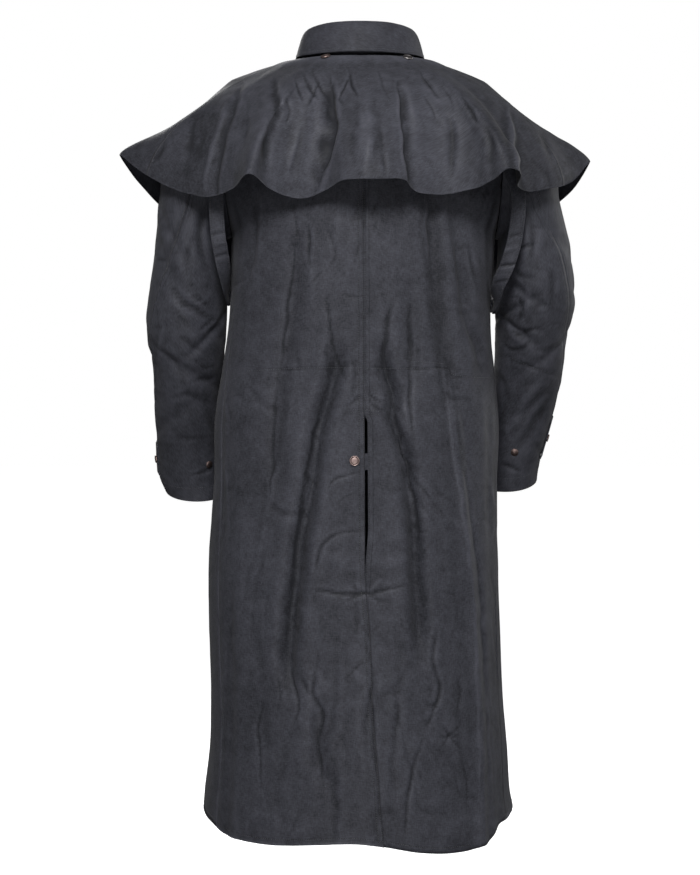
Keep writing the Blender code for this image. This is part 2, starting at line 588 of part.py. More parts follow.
def snap(name, place, way, mat, radius=SNAP_R, height=SNAP_H, sides=14):
    """A round press snap: a rim with a domed cap."""
    way = np.asarray(way, float)
    way = way / np.linalg.norm(way)
    a = np.cross(way, (0, 0, 1.0) if abs(way[2]) < 0.9 else (1.0, 0, 0))
    a /= np.linalg.norm(a)
    b = np.cross(way, a)
    shape = ((0.94, 0.0), (1.0, 0.35), (0.90, 0.72), (0.55, 0.96))
    verts = [place]
    for r, h in shape:
        for i in range(sides):
            t = 2 * math.pi * i / sides
            verts.append(place + (a * math.cos(t) + b * math.sin(t)) * radius * r + way * height * h)
    verts.append(place + way * height)
    faces = [(0, 1 + (i + 1) % sides, 1 + i) for i in range(sides)]
    for k in range(len(shape) - 1):
        for i in range(sides):
            p, q = 1 + k * sides + i, 1 + k * sides + (i + 1) % sides
            faces.append((p, q, q + sides, p + sides))
    top, base = len(verts) - 1, 1 + (len(shape) - 1) * sides
    faces += [(base + i, base + (i + 1) % sides, top) for i in range(sides)]
    return solid(name, verts, faces, mat)


def on_cell(grid, r, c, away, out):
    """A place on a piece, at fractions of the rows and columns of its grid, and the way out there."""
    i, j = min(int(r), grid.shape[0] - 2), min(int(c), grid.shape[1] - 2)
    p, q, v, w = grid[i, j], grid[i, j + 1], grid[i + 1, j], grid[i + 1, j + 1]
    f, h = r - i, c - j
    place = (p * (1 - h) + q * h) * (1 - f) + (v * (1 - h) + w * h) * f
    n = np.cross(w - p, v - q)
    n = n / np.linalg.norm(n)
    n = n * np.sign(np.dot(n, place - away))
    return place + n * out, n


def toward_middle(grid):
    """Places inside the coat, level with the points of a grid."""
    g = grid.copy()
    g[..., :2] *= 0.2
    return g


def main():
    for ob in list(bpy.data.objects):
        bpy.data.objects.remove(ob, do_unlink=True)
    cloth = material("waxed_cotton", (0.046, 0.049, 0.058), 0.72)
    metal = material("copper_snap", (0.36, 0.25, 0.23), 0.38, 1.0)
    half = GAP * 0.7

    for side, tag in ((1, "left"), (-1, "right")):
        for name, face, sizes in ((f"back_{tag}", 1, BACK_GRID), (f"front_{tag}", -1, FRONT_GRID)):
            g = trim(panel(side, face, *sizes), first=half if face > 0 else 0, last=half, high=half)
            wall(name, g, cloth, toward_middle(g))

        ring_of = {"top": lambda seam: np.linspace(FRONT_SLEEVE_SEAM, seam, SLEEVE_POINTS),
                   "under": lambda seam: np.linspace(seam, 360 + FRONT_SLEEVE_SEAM, SLEEVE_POINTS)}
        centre = sleeve(side, lambda seam: np.array([0.0, 180.0]), SLEEVE_RINGS, creases=False).mean(1)
        for part, angles in ring_of.items():
            g = sleeve(side, angles, SLEEVE_RINGS)
            wall(f"sleeve_{tag}_{part}", trim(g, first=half, last=half), cloth, centre[:, None])
        under = sleeve(side, ring_of["under"], SLEEVE_RINGS)

        # a tab on the outer edge of the cuff, laid on the points of the sleeve, and the two snaps
        first, last = TAB_RINGS
        tab = sleeve(side, ring_of["top"], SLEEVE_RINGS, WALL + TAB_LIFT)[first:last, TAB_FROM:]
        wall(f"cuff_tab_{tag}", tab, cloth, centre[first:last, None])
        p, n = on_cell(tab, *TAB_SNAP_AT, centre[first + 1], WALL + SEAT)
        snap(f"tab_snap_{tag}", p, n, metal, CUFF_SNAP_R)
        p, n = on_cell(under, *CUFF_SNAP_AT[side], centre[first + 1], WALL + SEAT + 0.0001)
        snap(f"cuff_snap_{tag}", p, n, metal, CUFF_SNAP_R)

    end = CAPE_NECK_ROWS[-1]
    for name, a, b, cols in (("cape_left", 0, CAPE_SEAM_LEFT, CAPE_SIDE_COLS),
                             ("cape_back", CAPE_SEAM_LEFT, CAPE_SEAM_RIGHT, CAPE_BACK_COLS),
                             ("cape_right", CAPE_SEAM_RIGHT, end, CAPE_SIDE_COLS)):
        g = trim(cape(a, b, cols, CAPE_ROWS), first=half if a else 0, last=half if b != end else 0)
        below = g * (0.6, 0.6, 1.0) - (0.0, 0.0, 0.2)
        wall(name, g, cloth, below)

    g = collar_fall(COLLAR_COLS, 5)
    wall("collar_fall", g, cloth, neck(np.linspace(-COLLAR_END, COLLAR_END, COLLAR_COLS), -0.001)[None])
    g = collar_stand(COLLAR_COLS, 3)
    wall("collar_stand", g, cloth, toward_middle(g))
    for tag, table in (("left", STRAP_LEFT), ("right", STRAP_RIGHT)):
        wall(f"underarm_strap_{tag}", strap(table, STRAP_ROWS, 3), cloth, np.array([0.0, 0.0, -0.25]))

    # snaps for a hood, on the cape below the collar
    g = cape(CAPE_SEAM_LEFT, CAPE_SEAM_RIGHT, CAPE_BACK_COLS, CAPE_ROWS)
    for tag, x in HOOD_SNAP_X.items():
        across = (g[0, :, 0] + g[1, :, 0]) / 2
        col = float(np.interp(-x, -across, np.arange(CAPE_BACK_COLS)))
        p, n = on_cell(g, HOOD_SNAP_ROW, col, np.array([0.0, 0.0, -0.3]), WALL + 0.0007)
        snap(f"hood_snap_{tag}", p, n, metal)

    # the vent: a tab across the slit, behind both halves, and its snap
    across, up = np.linspace(-VENT_TAB_X, VENT_TAB_X, 7), np.linspace(*VENT_TAB_Z, 3)
    tab = np.array([[back_skin(x, z, -0.0008 - WALL)[0] for x in across] for z in up])
    wall("vent_tab", tab, cloth, toward_middle(tab))
    p, n = back_skin(*VENT_SNAP_AT, WALL + 0.0007)
    snap("vent_snap", p, n, metal)

    # the front closes with a row of snaps on its upper edge
    g = panel(1, -1, *FRONT_GRID)
    low_rows = FRONT_GRID[0]
    for i, z in enumerate(FRONT_SNAP_Z):
        row = float(np.interp(z, g[:low_rows, 1, 2], np.arange(low_rows)))
        p, n = on_cell(g, row, FRONT_SNAP_COL, np.array([0.0, 0.0, z]), WALL + SEAT)
        snap(f"front_snap_{i + 1}", p, n, metal)


if __name__ == "__main__":
    main()
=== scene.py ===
"""The looks of a long waxed-cotton duster coat with a shoulder cape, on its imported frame."""
import math

import bmesh
import bpy
import numpy as np
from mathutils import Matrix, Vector
from mathutils.bvhtree import BVHTree


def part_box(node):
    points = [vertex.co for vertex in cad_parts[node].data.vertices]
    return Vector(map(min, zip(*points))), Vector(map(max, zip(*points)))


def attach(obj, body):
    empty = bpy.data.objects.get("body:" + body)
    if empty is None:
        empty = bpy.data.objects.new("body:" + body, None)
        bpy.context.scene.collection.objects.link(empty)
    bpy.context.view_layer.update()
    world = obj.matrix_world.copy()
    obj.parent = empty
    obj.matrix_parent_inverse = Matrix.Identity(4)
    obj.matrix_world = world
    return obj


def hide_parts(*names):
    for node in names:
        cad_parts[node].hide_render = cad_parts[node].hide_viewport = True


# driving dimensions
WALL = 0.0015            # cloth
GAP = 0.0003             # between two pieces at a seam
SQUARE = 2.3             # 2 would be an oval section, more is squarer
UNDERARM_Z = -0.275
HEM_Z = -1.187
VENT_TOP_Z = -0.560
VENT_OPEN = 0.0045       # the slit stands open by this
FRONT_LAP = 0.030        # each front passes the middle by this
LAP_RISE = 0.0034        # an overlapping edge lies this much higher
NECK_X, NECK_BACK, NECK_FRONT = 0.087, 0.076, 0.088
SNAP_R, SNAP_H = 0.0076, 0.0026
CUFF_SNAP_R = 0.0062

# the body of the coat, a row per height from the hem to the underarm
BODY_COLUMNS = ("height", "left", "right", "back", "front", "back_edge", "seam_left", "seam_right")
BODY = (
    (-1.215, 0.246, 0.243, 0.218, 0.206, -0.036, 60, 66),
    (-1.180, 0.245, 0.240, 0.217, 0.205, -0.033, 60, 66),
    (-1.149, 0.243, 0.234, 0.215, 0.203, -0.030, 60, 67),
    (-1.079, 0.235, 0.229, 0.211, 0.199, -0.025, 61, 68),
    (-0.994, 0.233, 0.222, 0.204, 0.193, -0.018, 62, 70),
    (-0.891, 0.236, 0.218, 0.195, 0.185, -0.0145, 63, 71),
    (-0.788, 0.236, 0.215, 0.187, 0.177, -0.0066, 64, 72),
    (-0.725, 0.232, 0.214, 0.181, 0.172, -0.0063, 65, 73),
    (-0.660, 0.228, 0.2145, 0.175, 0.167, -0.0061, 66, 74),
    (-0.561, 0.2265, 0.216, 0.167, 0.160, -0.0056, 67, 75),
    (-0.496, 0.2165, 0.211, 0.162, 0.155, -0.0052, 69, 77),
    (-0.442, 0.2085, 0.2055, 0.160, 0.152, -0.0051, 72, 80),
    (-0.378, 0.202, 0.204, 0.159, 0.150, -0.0050, 77, 84),
    (-0.327, 0.201, 0.209, 0.158, 0.149, -0.0048, 83, 87),
    (-0.275, 0.200, 0.212, 0.157, 0.147, -0.0045, 90, 90),
)

# height of the hem of the back, at points across it
BACK_HEM = (
    (-0.242, -1.168), (-0.234, -1.171), (-0.223, -1.175), (-0.208, -1.180), (-0.201, -1.189),
    (-0.1935, -1.1965), (-0.177, -1.202), (-0.138, -1.205), (-0.084, -1.200), (-0.032, -1.190),
    (0.0, -1.186), (0.060, -1.188), (0.144, -1.193), (0.178, -1.192), (0.202, -1.190), (0.223, -1.180),
    (0.242, -1.172), (0.247, -1.168),
)
# the large soft folds of the back, each a run of x and height, with half width and depth
BACK_FOLDS = (
    ("left valley", 0.0185, 0.0150, ((0.036, -0.43), (0.0385, -0.4946), (0.0470, -0.5288),
     (0.0590, -0.5704), (0.0670, -0.6105), (0.0735, -0.664), (0.0830, -0.7155), (0.0905, -0.7495),
     (0.0945, -0.7964), (0.1015, -0.842), (0.1050, -0.889), (0.1085, -0.9229), (0.1040, -0.9523),
     (0.095, -1.00))),
    ("right valley", 0.0170, 0.0135, ((-0.032, -0.43), (-0.0334, -0.4615), (-0.0364, -0.496),
     (-0.0498, -0.532), (-0.0483, -0.567), (-0.0645, -0.6135), (-0.0745, -0.682), (-0.0801, -0.736),
     (-0.0821, -0.790), (-0.0872, -0.864), (-0.088, -0.95))),
    ("left upper valley", 0.020, 0.0060, ((0.094, -0.27), (0.0978, -0.320), (0.1052, -0.438),
     (0.1186, -0.497), (0.126, -0.588), (0.130, -0.70))),
    ("right outer valley", 0.019, 0.0095, ((-0.100, -0.19), (-0.1041, -0.241), (-0.1117, -0.339),
     (-0.1193, -0.423), (-0.1325, -0.498), (-0.139, -0.58))),
    ("right side valley", 0.014, 0.0065, ((-0.134, -0.20), (-0.1397, -0.256), (-0.1556, -0.359),
     (-0.163, -0.4205), (-0.1814, -0.464), (-0.187, -0.53))),
    ("right middle valley", 0.016, 0.0040, ((-0.0776, -0.33), (-0.0776, -0.376), (-0.0736, -0.475),
     (-0.0736, -0.551), (-0.070, -0.60))),
    ("right side ridge", 0.011, -0.0048, ((-0.122, -0.44), (-0.1287, -0.485), (-0.139, -0.557),
     (-0.150, -0.674), (-0.1594, -0.775), (-0.1691, -0.902), (-0.1773, -0.9965), (-0.1785, -1.09),
     (-0.180, -1.19))),
    ("lower left valley", 0.016, 0.0070, ((0.061, -0.95), (0.0598, -0.981), (0.0627, -1.028),
     (0.0598, -1.0765), (0.0466, -1.108), (0.044, -1.14))),
    ("left edge valley", 0.012, 0.0050, ((0.196, -0.80), (0.1985, -0.90), (0.196, -1.00),
     (0.199, -1.10), (0.204, -1.21))),
    ("right edge valley", 0.010, 0.0045, ((-0.197, -0.52), (-0.199, -0.62), (-0.200, -0.75),
     (-0.202, -0.90), (-0.208, -1.05), (-0.213, -1.19))),
)
# the hidden front hangs in plain folds like those of the back
FRONT_FOLDS = (
    ("left front valley", 0.026, 0.0130, ((0.105, -0.36), (0.108, -0.50), (0.115, -0.70),
     (0.124, -0.95), (0.128, -1.20))),
    ("left front side", 0.020, 0.0070, ((0.172, -0.50), (0.176, -0.66), (0.180, -0.85), (0.184, -1.05),
     (0.186, -1.20))),
    ("right front valley", 0.024, 0.0125, ((-0.098, -0.34), (-0.102, -0.52), (-0.110, -0.72),
     (-0.114, -0.92), (-0.120, -1.20))),
    ("right front side", 0.020, 0.0070, ((-0.160, -0.55), (-0.166, -0.70), (-0.170, -0.90),
     (-0.175, -1.10), (-0.177, -1.20))),
)

# the sleeves, a row per ring from the armhole to the cuff: x, y, z, tilt of the ring's long axis, pitch,
# half width, half depth, and the angle of the back seam
SLEEVE_LEFT = (
    (0.2110, 0.000, -0.1695, 84, 0, 0.1055, 0.083, 90), (0.2530, 0.002, -0.2060, 62, 0, 0.0860, 0.080, 90),
    (0.2640, 0.000, -0.2520, 38, 0, 0.0640, 0.078, 85), (0.2670, -0.003, -0.3180, 16, 4, 0.0580, 0.075, 63),
    (0.2755, -0.012, -0.4140, 0, 9, 0.0625, 0.069, 34),
    (0.2735, -0.030, -0.4750, -4, 14, 0.0550, 0.064, 28),
    (0.2780, -0.055, -0.5350, 0, 16, 0.0515, 0.060, 25),
    (0.2780, -0.083, -0.6000, 0, 18, 0.0505, 0.057, 25),
    (0.2755, -0.101, -0.6500, 2, 18, 0.0525, 0.056, 25),
    (0.2660, -0.108, -0.6810, 2, 18, 0.0500, 0.055, 25),
)
SLEEVE_RIGHT = (
    (0.2170, 0.000, -0.1710, 87.3, 0, 0.1040, 0.083, 90),
    (0.2600, 0.002, -0.2130, 60, 0, 0.0800, 0.080, 90), (0.2655, 0.000, -0.2530, 38, 0, 0.0590, 0.078, 78),
    (0.2745, -0.003, -0.3180, 14, 4, 0.0585, 0.076, 51), (0.2775, -0.012, -0.3780, 2, 8, 0.0615, 0.070, 38),
    (0.2725, -0.028, -0.4300, -4, 13, 0.0555, 0.065, 30),
    (0.2705, -0.052, -0.4920, 0, 16, 0.0530, 0.061, 27),
    (0.2605, -0.080, -0.5600, 2, 18, 0.0508, 0.057, 25),
    (0.2480, -0.103, -0.6250, 4, 19, 0.0483, 0.055, 25),
    (0.2425, -0.116, -0.6650, 4, 19, 0.0475, 0.054, 25),
)
FRONT_SLEEVE_SEAM = -110
# creases of a sleeve: along it (in rings), round it (degrees), length, width, slant, depth
SLEEVE_CREASES_LEFT = (
    (3.6, 95, 60, 0.20, 0.012, 0.0045), (4.15, 135, 34, 0.16, -0.012, 0.0045),
    (4.6, 60, 55, 0.16, 0.010, 0.0030), (5.2, 110, 60, 0.20, 0.008, 0.0030),
    (2.6, 60, 50, 0.20, 0.012, 0.0030), (6.3, 60, 50, 0.22, -0.010, 0.0025),
    (4.2, -40, 60, 0.20, 0.010, 0.0045), (5.0, -70, 60, 0.22, -0.010, 0.0045),
    (6.6, -60, 60, 0.25, 0.010, 0.0030),
)
SLEEVE_CREASES_RIGHT = (
    (3.5, 130, 40, 0.20, -0.012, 0.0045), (4.2, 135, 36, 0.16, 0.010, 0.0050),
    (4.7, 125, 36, 0.16, -0.010, 0.0045), (5.3, 60, 55, 0.18, 0.010, 0.0030),
    (2.7, 50, 50, 0.22, -0.010, 0.0025), (6.4, 70, 50, 0.22, 0.010, 0.0025),
    (4.4, -50, 60, 0.20, -0.010, 0.0045), (5.4, -70, 60, 0.22, 0.012, 0.0040),
    (7.2, -50, 60, 0.25, 0.010, 0.0030),
)

# the hem of the cape, a row per turn of its waves from the left front edge round the back: x, y, z and
# fall, which is 1 for a straight slope and more where the cloth drops over the shoulder blade
CAPE_HEM = (
    (0.0040, -0.196, -0.285, 2.3), (0.0450, -0.190, -0.283, 2.3), (0.0900, -0.178, -0.278, 2.4),
    (0.1250, -0.182, -0.272, 2.1), (0.1550, -0.196, -0.262, 1.7), (0.1900, -0.160, -0.262, 1.9),
    (0.2250, -0.146, -0.258, 1.9), (0.2650, -0.150, -0.243, 2.0), (0.3000, -0.115, -0.233, 2.0),
    (0.3244, -0.090, -0.2169, 1.85), (0.3440, -0.068, -0.1970, 1.65), (0.3637, -0.040, -0.1740, 1.45),
    (0.3790, 0.000, -0.1485, 1.25), (0.3442, 0.040, -0.1785, 1.5), (0.2964, 0.080, -0.2093, 1.75),
    (0.2537, 0.112, -0.2274, 1.95), (0.2234, 0.130, -0.2326, 2.0), (0.1890, 0.163, -0.2257, 1.8),
    (0.1627, 0.212, -0.2113, 1.35), (0.1373, 0.182, -0.2270, 1.8), (0.1093, 0.168, -0.2377, 2.3),
    (0.0811, 0.168, -0.2404, 2.4), (0.0467, 0.186, -0.2292, 1.9), (0.0231, 0.214, -0.2204, 1.45),
    (-0.0204, 0.224, -0.2205, 1.35), (-0.0613, 0.214, -0.2197, 1.4), (-0.0784, 0.186, -0.2321, 2.0),
    (-0.0965, 0.176, -0.2351, 2.3), (-0.1236, 0.170, -0.2352, 2.3), (-0.1500, 0.172, -0.2310, 2.1),
    (-0.1759, 0.180, -0.2255, 1.9), (-0.1982, 0.194, -0.2145, 1.6), (-0.2168, 0.200, -0.2015, 1.4),
    (-0.2340, 0.184, -0.2080, 1.45), (-0.2335, 0.146, -0.2196, 1.75), (-0.2514, 0.124, -0.2242, 1.9),
    (-0.2690, 0.109, -0.2205, 1.85), (-0.2927, 0.090, -0.2138, 1.75), (-0.3112, 0.070, -0.2078, 1.65),
    (-0.3344, 0.040, -0.1925, 1.5), (-0.3626, 0.000, -0.1590, 1.25), (-0.3570, -0.040, -0.1740, 1.45),
    (-0.3440, -0.070, -0.1937, 1.65), (-0.3231, -0.092, -0.2120, 1.85), (-0.2950, -0.118, -0.2310, 2.0),
    (-0.2550, -0.150, -0.2430, 2.0), (-0.2150, -0.146, -0.2560, 1.9), (-0.1800, -0.168, -0.2600, 1.8),
    (-0.1450, -0.196, -0.2620, 1.7), (-0.1100, -0.180, -0.2740, 2.2), (-0.0600, -0.184, -0.2820, 2.3),
    (-0.0040, -0.196, -0.2850, 2.3),
)
CAPE_NECK_ROWS = (0, 12, 40, 51)        # rows at the front edge, left tip, right tip, front edge
CAPE_NECK_ANGLES = (178, 90, -90, -178)
CAPE_SEAM_LEFT, CAPE_SEAM_RIGHT = 13.35, 38.0

# the collar: angle from the back, height of its fold and of its edge, how far the edge stands out
COLLAR_COLUMNS = ("angle", "fold", "edge", "out", "stand")
COLLAR = (
    (0, 0.0420, -0.0060, 0.0180, -0.0130), (40, 0.0420, -0.0045, 0.0175, -0.0110),
    (65, 0.0390, -0.0015, 0.0155, -0.0080), (90, 0.0280, 0.0002, 0.0135, -0.0040),
    (120, 0.0080, -0.0170, 0.0200, -0.0270), (150, -0.0240, -0.0500, 0.0340, -0.0600),
    (172, -0.0500, -0.0800, 0.0450, -0.0860),
)

# straps that come from under the cape, hang loose round the underarm and go up to the front of the cape:
# x, y, z, and how far the strap has turned
STRAP_WIDE = 0.0225
STRAP_LEFT = (
    (0.2165, 0.0872, -0.172, -12.7), (0.2195, 0.0985, -0.224, 0), (0.2174, 0.0960, -0.281, 0),
    (0.2125, 0.0860, -0.315, 12), (0.2082, 0.0640, -0.350, 60), (0.2072, 0.0300, -0.372, 88),
    (0.2072, -0.0150, -0.374, 90), (0.2075, -0.0560, -0.352, 92), (0.2100, -0.0880, -0.312, 140),
    (0.2150, -0.0975, -0.250, 178), (0.2165, -0.0866, -0.172, 193.5),
)
STRAP_RIGHT = (
    (-0.2215, 0.0880, -0.172, 20.0), (-0.2400, 0.0990, -0.222, 2), (-0.2367, 0.0960, -0.285, 0),
    (-0.2252, 0.0865, -0.330, -10), (-0.2120, 0.0700, -0.362, -44), (-0.2098, 0.0320, -0.386, -88),
    (-0.2098, -0.0150, -0.386, -90), (-0.2100, -0.0540, -0.362, -92), (-0.2160, -0.0880, -0.320, -140),
    (-0.2230, -0.0975, -0.252, -180), (-0.2215, -0.0882, -0.172, -195.0),
)

COLLAR_END, STAND_END = 170.5, 171.5    # the collar's parts stop at these angles


def smooth(knots, values, at):
    """A smooth curve through the rows of a table."""
    knots, values = np.asarray(knots, float), np.asarray(values, float)
    at = np.clip(np.asarray(at, float), knots[0], knots[-1])
    slope = np.gradient(values, knots, axis=0)
    i = np.clip(np.searchsorted(knots, at, side="right") - 1, 0, len(knots) - 2)
    h = knots[i + 1] - knots[i]
    t = (at - knots[i]) / h
    if values.ndim > 1:
        t, h = t[..., None], h[..., None]
    a, b, m, n = values[i], values[i + 1], slope[i] * h, slope[i + 1] * h
    late = 3 * t**2 - 2 * t**3
    return (1 - late) * a + (t**3 - 2 * t**2 + t) * m + late * b + (t**3 - t**2) * n


def column(table, columns, name):
    return np.array([row[columns.index(name)] for row in table], float)


def step(low, high, at):
    t = np.clip((np.asarray(at, float) - low) / (high - low), 0, 1)
    return t * t * (3 - 2 * t)


def body_size(name, z):
    return smooth(column(BODY, BODY_COLUMNS, "height"), column(BODY, BODY_COLUMNS, name), z)


def hem_height(x, y):
    """The hem dips right of the middle at the back and rises at the sides."""
    back = smooth([row[0] for row in BACK_HEM], [row[1] for row in BACK_HEM], x)
    share = step(-0.08, 0.05, y)
    return HEM_Z * (1 - share) + back * share


def section(angle, z):
    """A point of the section at height z; 0 is the middle of the back and 90 the wearer's left."""
    a = np.radians(angle)
    wide = np.where(np.sin(a) >= 0, body_size("left", z), body_size("right", z))
    deep = np.where(np.cos(a) >= 0, body_size("back", z), body_size("front", z))
    s, c = np.sin(a), np.cos(a)
    x = wide * np.sign(s) * np.abs(s) ** (2 / SQUARE)
    y = deep * np.sign(c) * np.abs(c) ** (2 / SQUARE)
    return np.stack([x, y, np.broadcast_to(z, x.shape)], -1)


def angle_of(x, z):
    """The angle of the back at which the section passes x."""
    wide = np.where(x >= 0, body_size("left", z), body_size("right", z))
    return np.degrees(np.sign(x) * np.arcsin(np.clip(np.abs(x) / wide, 0, 1) ** (SQUARE / 2)))


def fold_depth(folds, x, z):
    total = np.zeros(np.broadcast(x, z).shape)
    for _, wide, deep, run in folds:
        run = np.array(sorted((h, v) for v, h in run))
        centre = smooth(run[:, 0], run[:, 1], z)
        ends = step(run[0, 0], run[0, 0] + 0.09, z) * (1 - step(run[-1, 0] - 0.08, run[-1, 0], z))
        if run[0, 0] < -1.15:
            ends = 1 - step(run[-1, 0] - 0.08, run[-1, 0], z)
        q = (x - centre) / wide
        total = total - deep * ends * (1 - 1.1 * q * q) * np.exp(-q * q)
    return total


def normals(grid):
    across = np.gradient(grid, axis=1)
    along = np.gradient(grid, axis=0)
    n = np.cross(across, along)
    return n / np.maximum(np.linalg.norm(n, axis=2, keepdims=True), 1e-12)


def arm_loop(side, angle):
    """The armhole, flat and nearly upright; 0 is the shoulder and 90 its back."""
    x, y, z, tilt, _, wide, deep, _ = (SLEEVE_LEFT if side > 0 else SLEEVE_RIGHT)[0]
    a, t = np.radians(angle), math.radians(tilt)
    c, s = np.cos(a), np.sin(a)
    return np.stack([side * (x + wide * c * math.cos(t)), y + deep * s, z + wide * c * math.sin(t)], -1)


def neck(angle, grow=0.0, lift=0.0):
    """The neck hole; 0 is the back and 180 the front."""
    a = np.radians(angle)
    deep = np.where(np.cos(a) >= 0, NECK_BACK, NECK_FRONT) + grow
    z = smooth((0, 60, 90, 130, 180), (-0.013, -0.009, -0.004, -0.036, -0.088), np.abs(angle)) + lift
    return np.stack([(NECK_X + grow) * np.sin(a), deep * np.cos(a), z], -1)


def panel(side, face, rows_low, rows_high, cols):
    """Half of the back (face 1) or of the front (face -1), from the middle edge to the side."""
    u = np.linspace(0, 1, cols)
    v = np.linspace(0, 1, rows_low) ** 0.92
    z0 = HEM_Z + (UNDERARM_Z - HEM_Z) * v[:, None] + 0 * u[None, :]
    seam = body_size("seam_left" if side > 0 else "seam_right", z0)
    if face > 0:
        first = angle_of(body_size("back_edge", z0[:, :1]) + back_edge_shift(side, z0[:, :1]), z0[:, :1])
        angle = first + (side * seam - first) * u
    else:
        angle = side * (180 + (seam - 180) * u)
    for _ in range(2):
        flat = section(angle, z0)
        z0 = hem_height(flat[..., 0], flat[..., 1]) * (1 - v[:, None]) + UNDERARM_Z * v[:, None]
    low = section(angle, z0)

    # the net from the underarm up to the neck and the shoulder, between its four edges
    t = np.linspace(0, 1, rows_high + 1)
    bottom = low[-1]
    share = 0.40 if face > 0 else 0.50
    on_neck = np.clip(u / share, 0, 1)
    if face > 0:
        start = math.degrees(math.asin(max(min(float(bottom[0, 0]) / NECK_X, 1), -1)))
        top = neck(start + (side * 90 - start) * on_neck)
    else:
        top = neck(side * (180 - 90 * on_neck))
    shoulder = arm_loop(side, np.array(0.0))
    on_shoulder = np.clip((u - share) / (1 - share), 0, 1)[:, None]
    point = neck(np.array(side * 90.0))
    line = point + (shoulder - point) * on_shoulder
    line[:, 2] += 0.004 * np.sin(math.pi * on_shoulder[:, 0])
    top = np.where(u[:, None] > share, line, top)
    middle = bottom[0] + (top[0] - bottom[0]) * t[:, None]
    middle[:, 1] += face * (0.041 if face > 0 else 0.026) * np.sin(math.pi * t**1.35)
    arm = arm_loop(side, face * 180 * (1 - t))
    tt, uu = t[:, None, None], u[None, :, None]
    net = ((1 - tt) * bottom[None] + tt * top[None] + (1 - uu) * middle[:, None] + uu * arm[:, None]
           - (1 - tt) * (1 - uu) * bottom[0] - (1 - tt) * uu * bottom[-1]
           - tt * (1 - uu) * top[0] - tt * uu * top[-1])
    grid = np.concatenate([low, net[1:]], 0)
    join = rows_low - 1
    for _ in range(2):
        soft = grid.copy()
        for r in (join - 1, join, join + 1):
            soft[r, 1:-1] = grid[r, 1:-1] * 0.5 + (grid[r - 1, 1:-1] + grid[r + 1, 1:-1]) * 0.25
        grid = soft

    if face < 0:
        past = [[[np.interp(w, np.abs(row[:, 0]), row[:, i]) * (-1 if i == 0 else 1) for i in range(3)]
                 for w in (FRONT_LAP, FRONT_LAP / 2)] for row in grid]
        grid = np.concatenate([np.array(past), grid], 1)
        u = np.concatenate([[0, 0], u])

    n = normals(grid)
    n *= np.sign((n[..., :2] * grid[..., :2]).sum(-1, keepdims=True).sum())
    x, z = grid[..., 0], grid[..., 2]
    push = fold_depth(BACK_FOLDS if face > 0 else FRONT_FOLDS, x, z)
    push = push * (1 - step(0.75, 1.0, np.abs(u)[None, :]))
    push = push * (1 - step(-0.22, -0.12, z))
    if face > 0 and side > 0:
        push = push + LAP_RISE * np.exp(-((u * 0.24 / 0.035) ** 2)) * (1 - step(-0.83, -0.72, z))
    if face < 0 and side > 0:
        push = push + LAP_RISE * (1 - step(0.034, 0.062, x))
    return grid + n * push[..., None]


def back_edge_shift(side, z):
    """Where the middle edges of the back part at the vent; the left one lies over the other below."""
    open_ = step(-0.80, -0.73, z) * (1 - step(VENT_TOP_Z - 0.012, VENT_TOP_Z, z))
    over = 1 - step(-0.86, -0.79, z)
    return 0 * z if side > 0 else -VENT_OPEN * open_ + 0.009 * over


def back_skin(x, z, out):
    """A point at a distance out from the inside face of the back."""
    def at(x, z):
        p = section(angle_of(np.array(x), np.array(z)), np.array(z))
        e = 1e-4
        q = section(angle_of(np.array(x + e), np.array(z)), np.array(z)) - p
        r = section(angle_of(np.array(x), np.array(z + e)), np.array(z + e)) - p
        n = np.cross(r, q)
        n = n / np.linalg.norm(n)
        n = n * np.sign(n[1])
        return p + n * float(fold_depth(BACK_FOLDS, np.array(x), np.array(z)))
    e = 2e-3
    n = np.cross(at(x, z + e) - at(x, z - e), at(x + e, z) - at(x - e, z))
    return at(x, z) + n / np.linalg.norm(n) * np.sign(n[1]) * out


def sleeve(side, angles, rows, out=0.0, creases=True):
    """Rings of a sleeve; angles is a function of the ring that gives those of its points."""
    table, folds = (SLEEVE_LEFT, SLEEVE_CREASES_LEFT) if side > 0 else (SLEEVE_RIGHT, SLEEVE_CREASES_RIGHT)
    marks = np.arange(len(table), dtype=float)
    k = (len(table) - 1) * np.linspace(0, 1, rows)
    x, y, z, tilt, pitch, wide, deep, seam = smooth(marks, np.array(table, float), k).T
    rings = []
    for i in range(rows):
        a = angles(seam[i])
        t, p = math.radians(tilt[i]), math.radians(pitch[i])
        grow = 0.0
        if creases:
            for ka, around, long, width, slant, depth in folds:
                da = (a - around + 180) % 360 - 180
                q = (k[i] - ka - slant * da) / width
                grow = grow - depth * (1 - 0.9 * q * q) * np.exp(-q * q - (da / long) ** 2)
            cuff = len(table) - 1.2
            grow = grow * step(0.4, 1.6, k[i]) * (1 - step(cuff - 1, cuff, k[i]))
        c = np.cos(np.radians(a)) * (wide[i] + grow + out)
        s = np.sin(np.radians(a)) * (deep[i] + grow + out)
        ring = np.stack([side * (x[i] + c * math.cos(t)), y[i] + s * math.cos(p),
                         z[i] + c * math.sin(t) - s * math.sin(p)], -1)
        start = 1 - step(0.0, 0.7, k[i])
        ring[:, 0] += side * start * (GAP + 0.0005 + 0.0026 * (1 - np.cos(np.radians(a))) / 2)
        ring[:, 2] -= start * 0.0012 * np.clip(-np.cos(np.radians(a)), 0, 1)
        rings.append(ring)
    return np.array(rings)


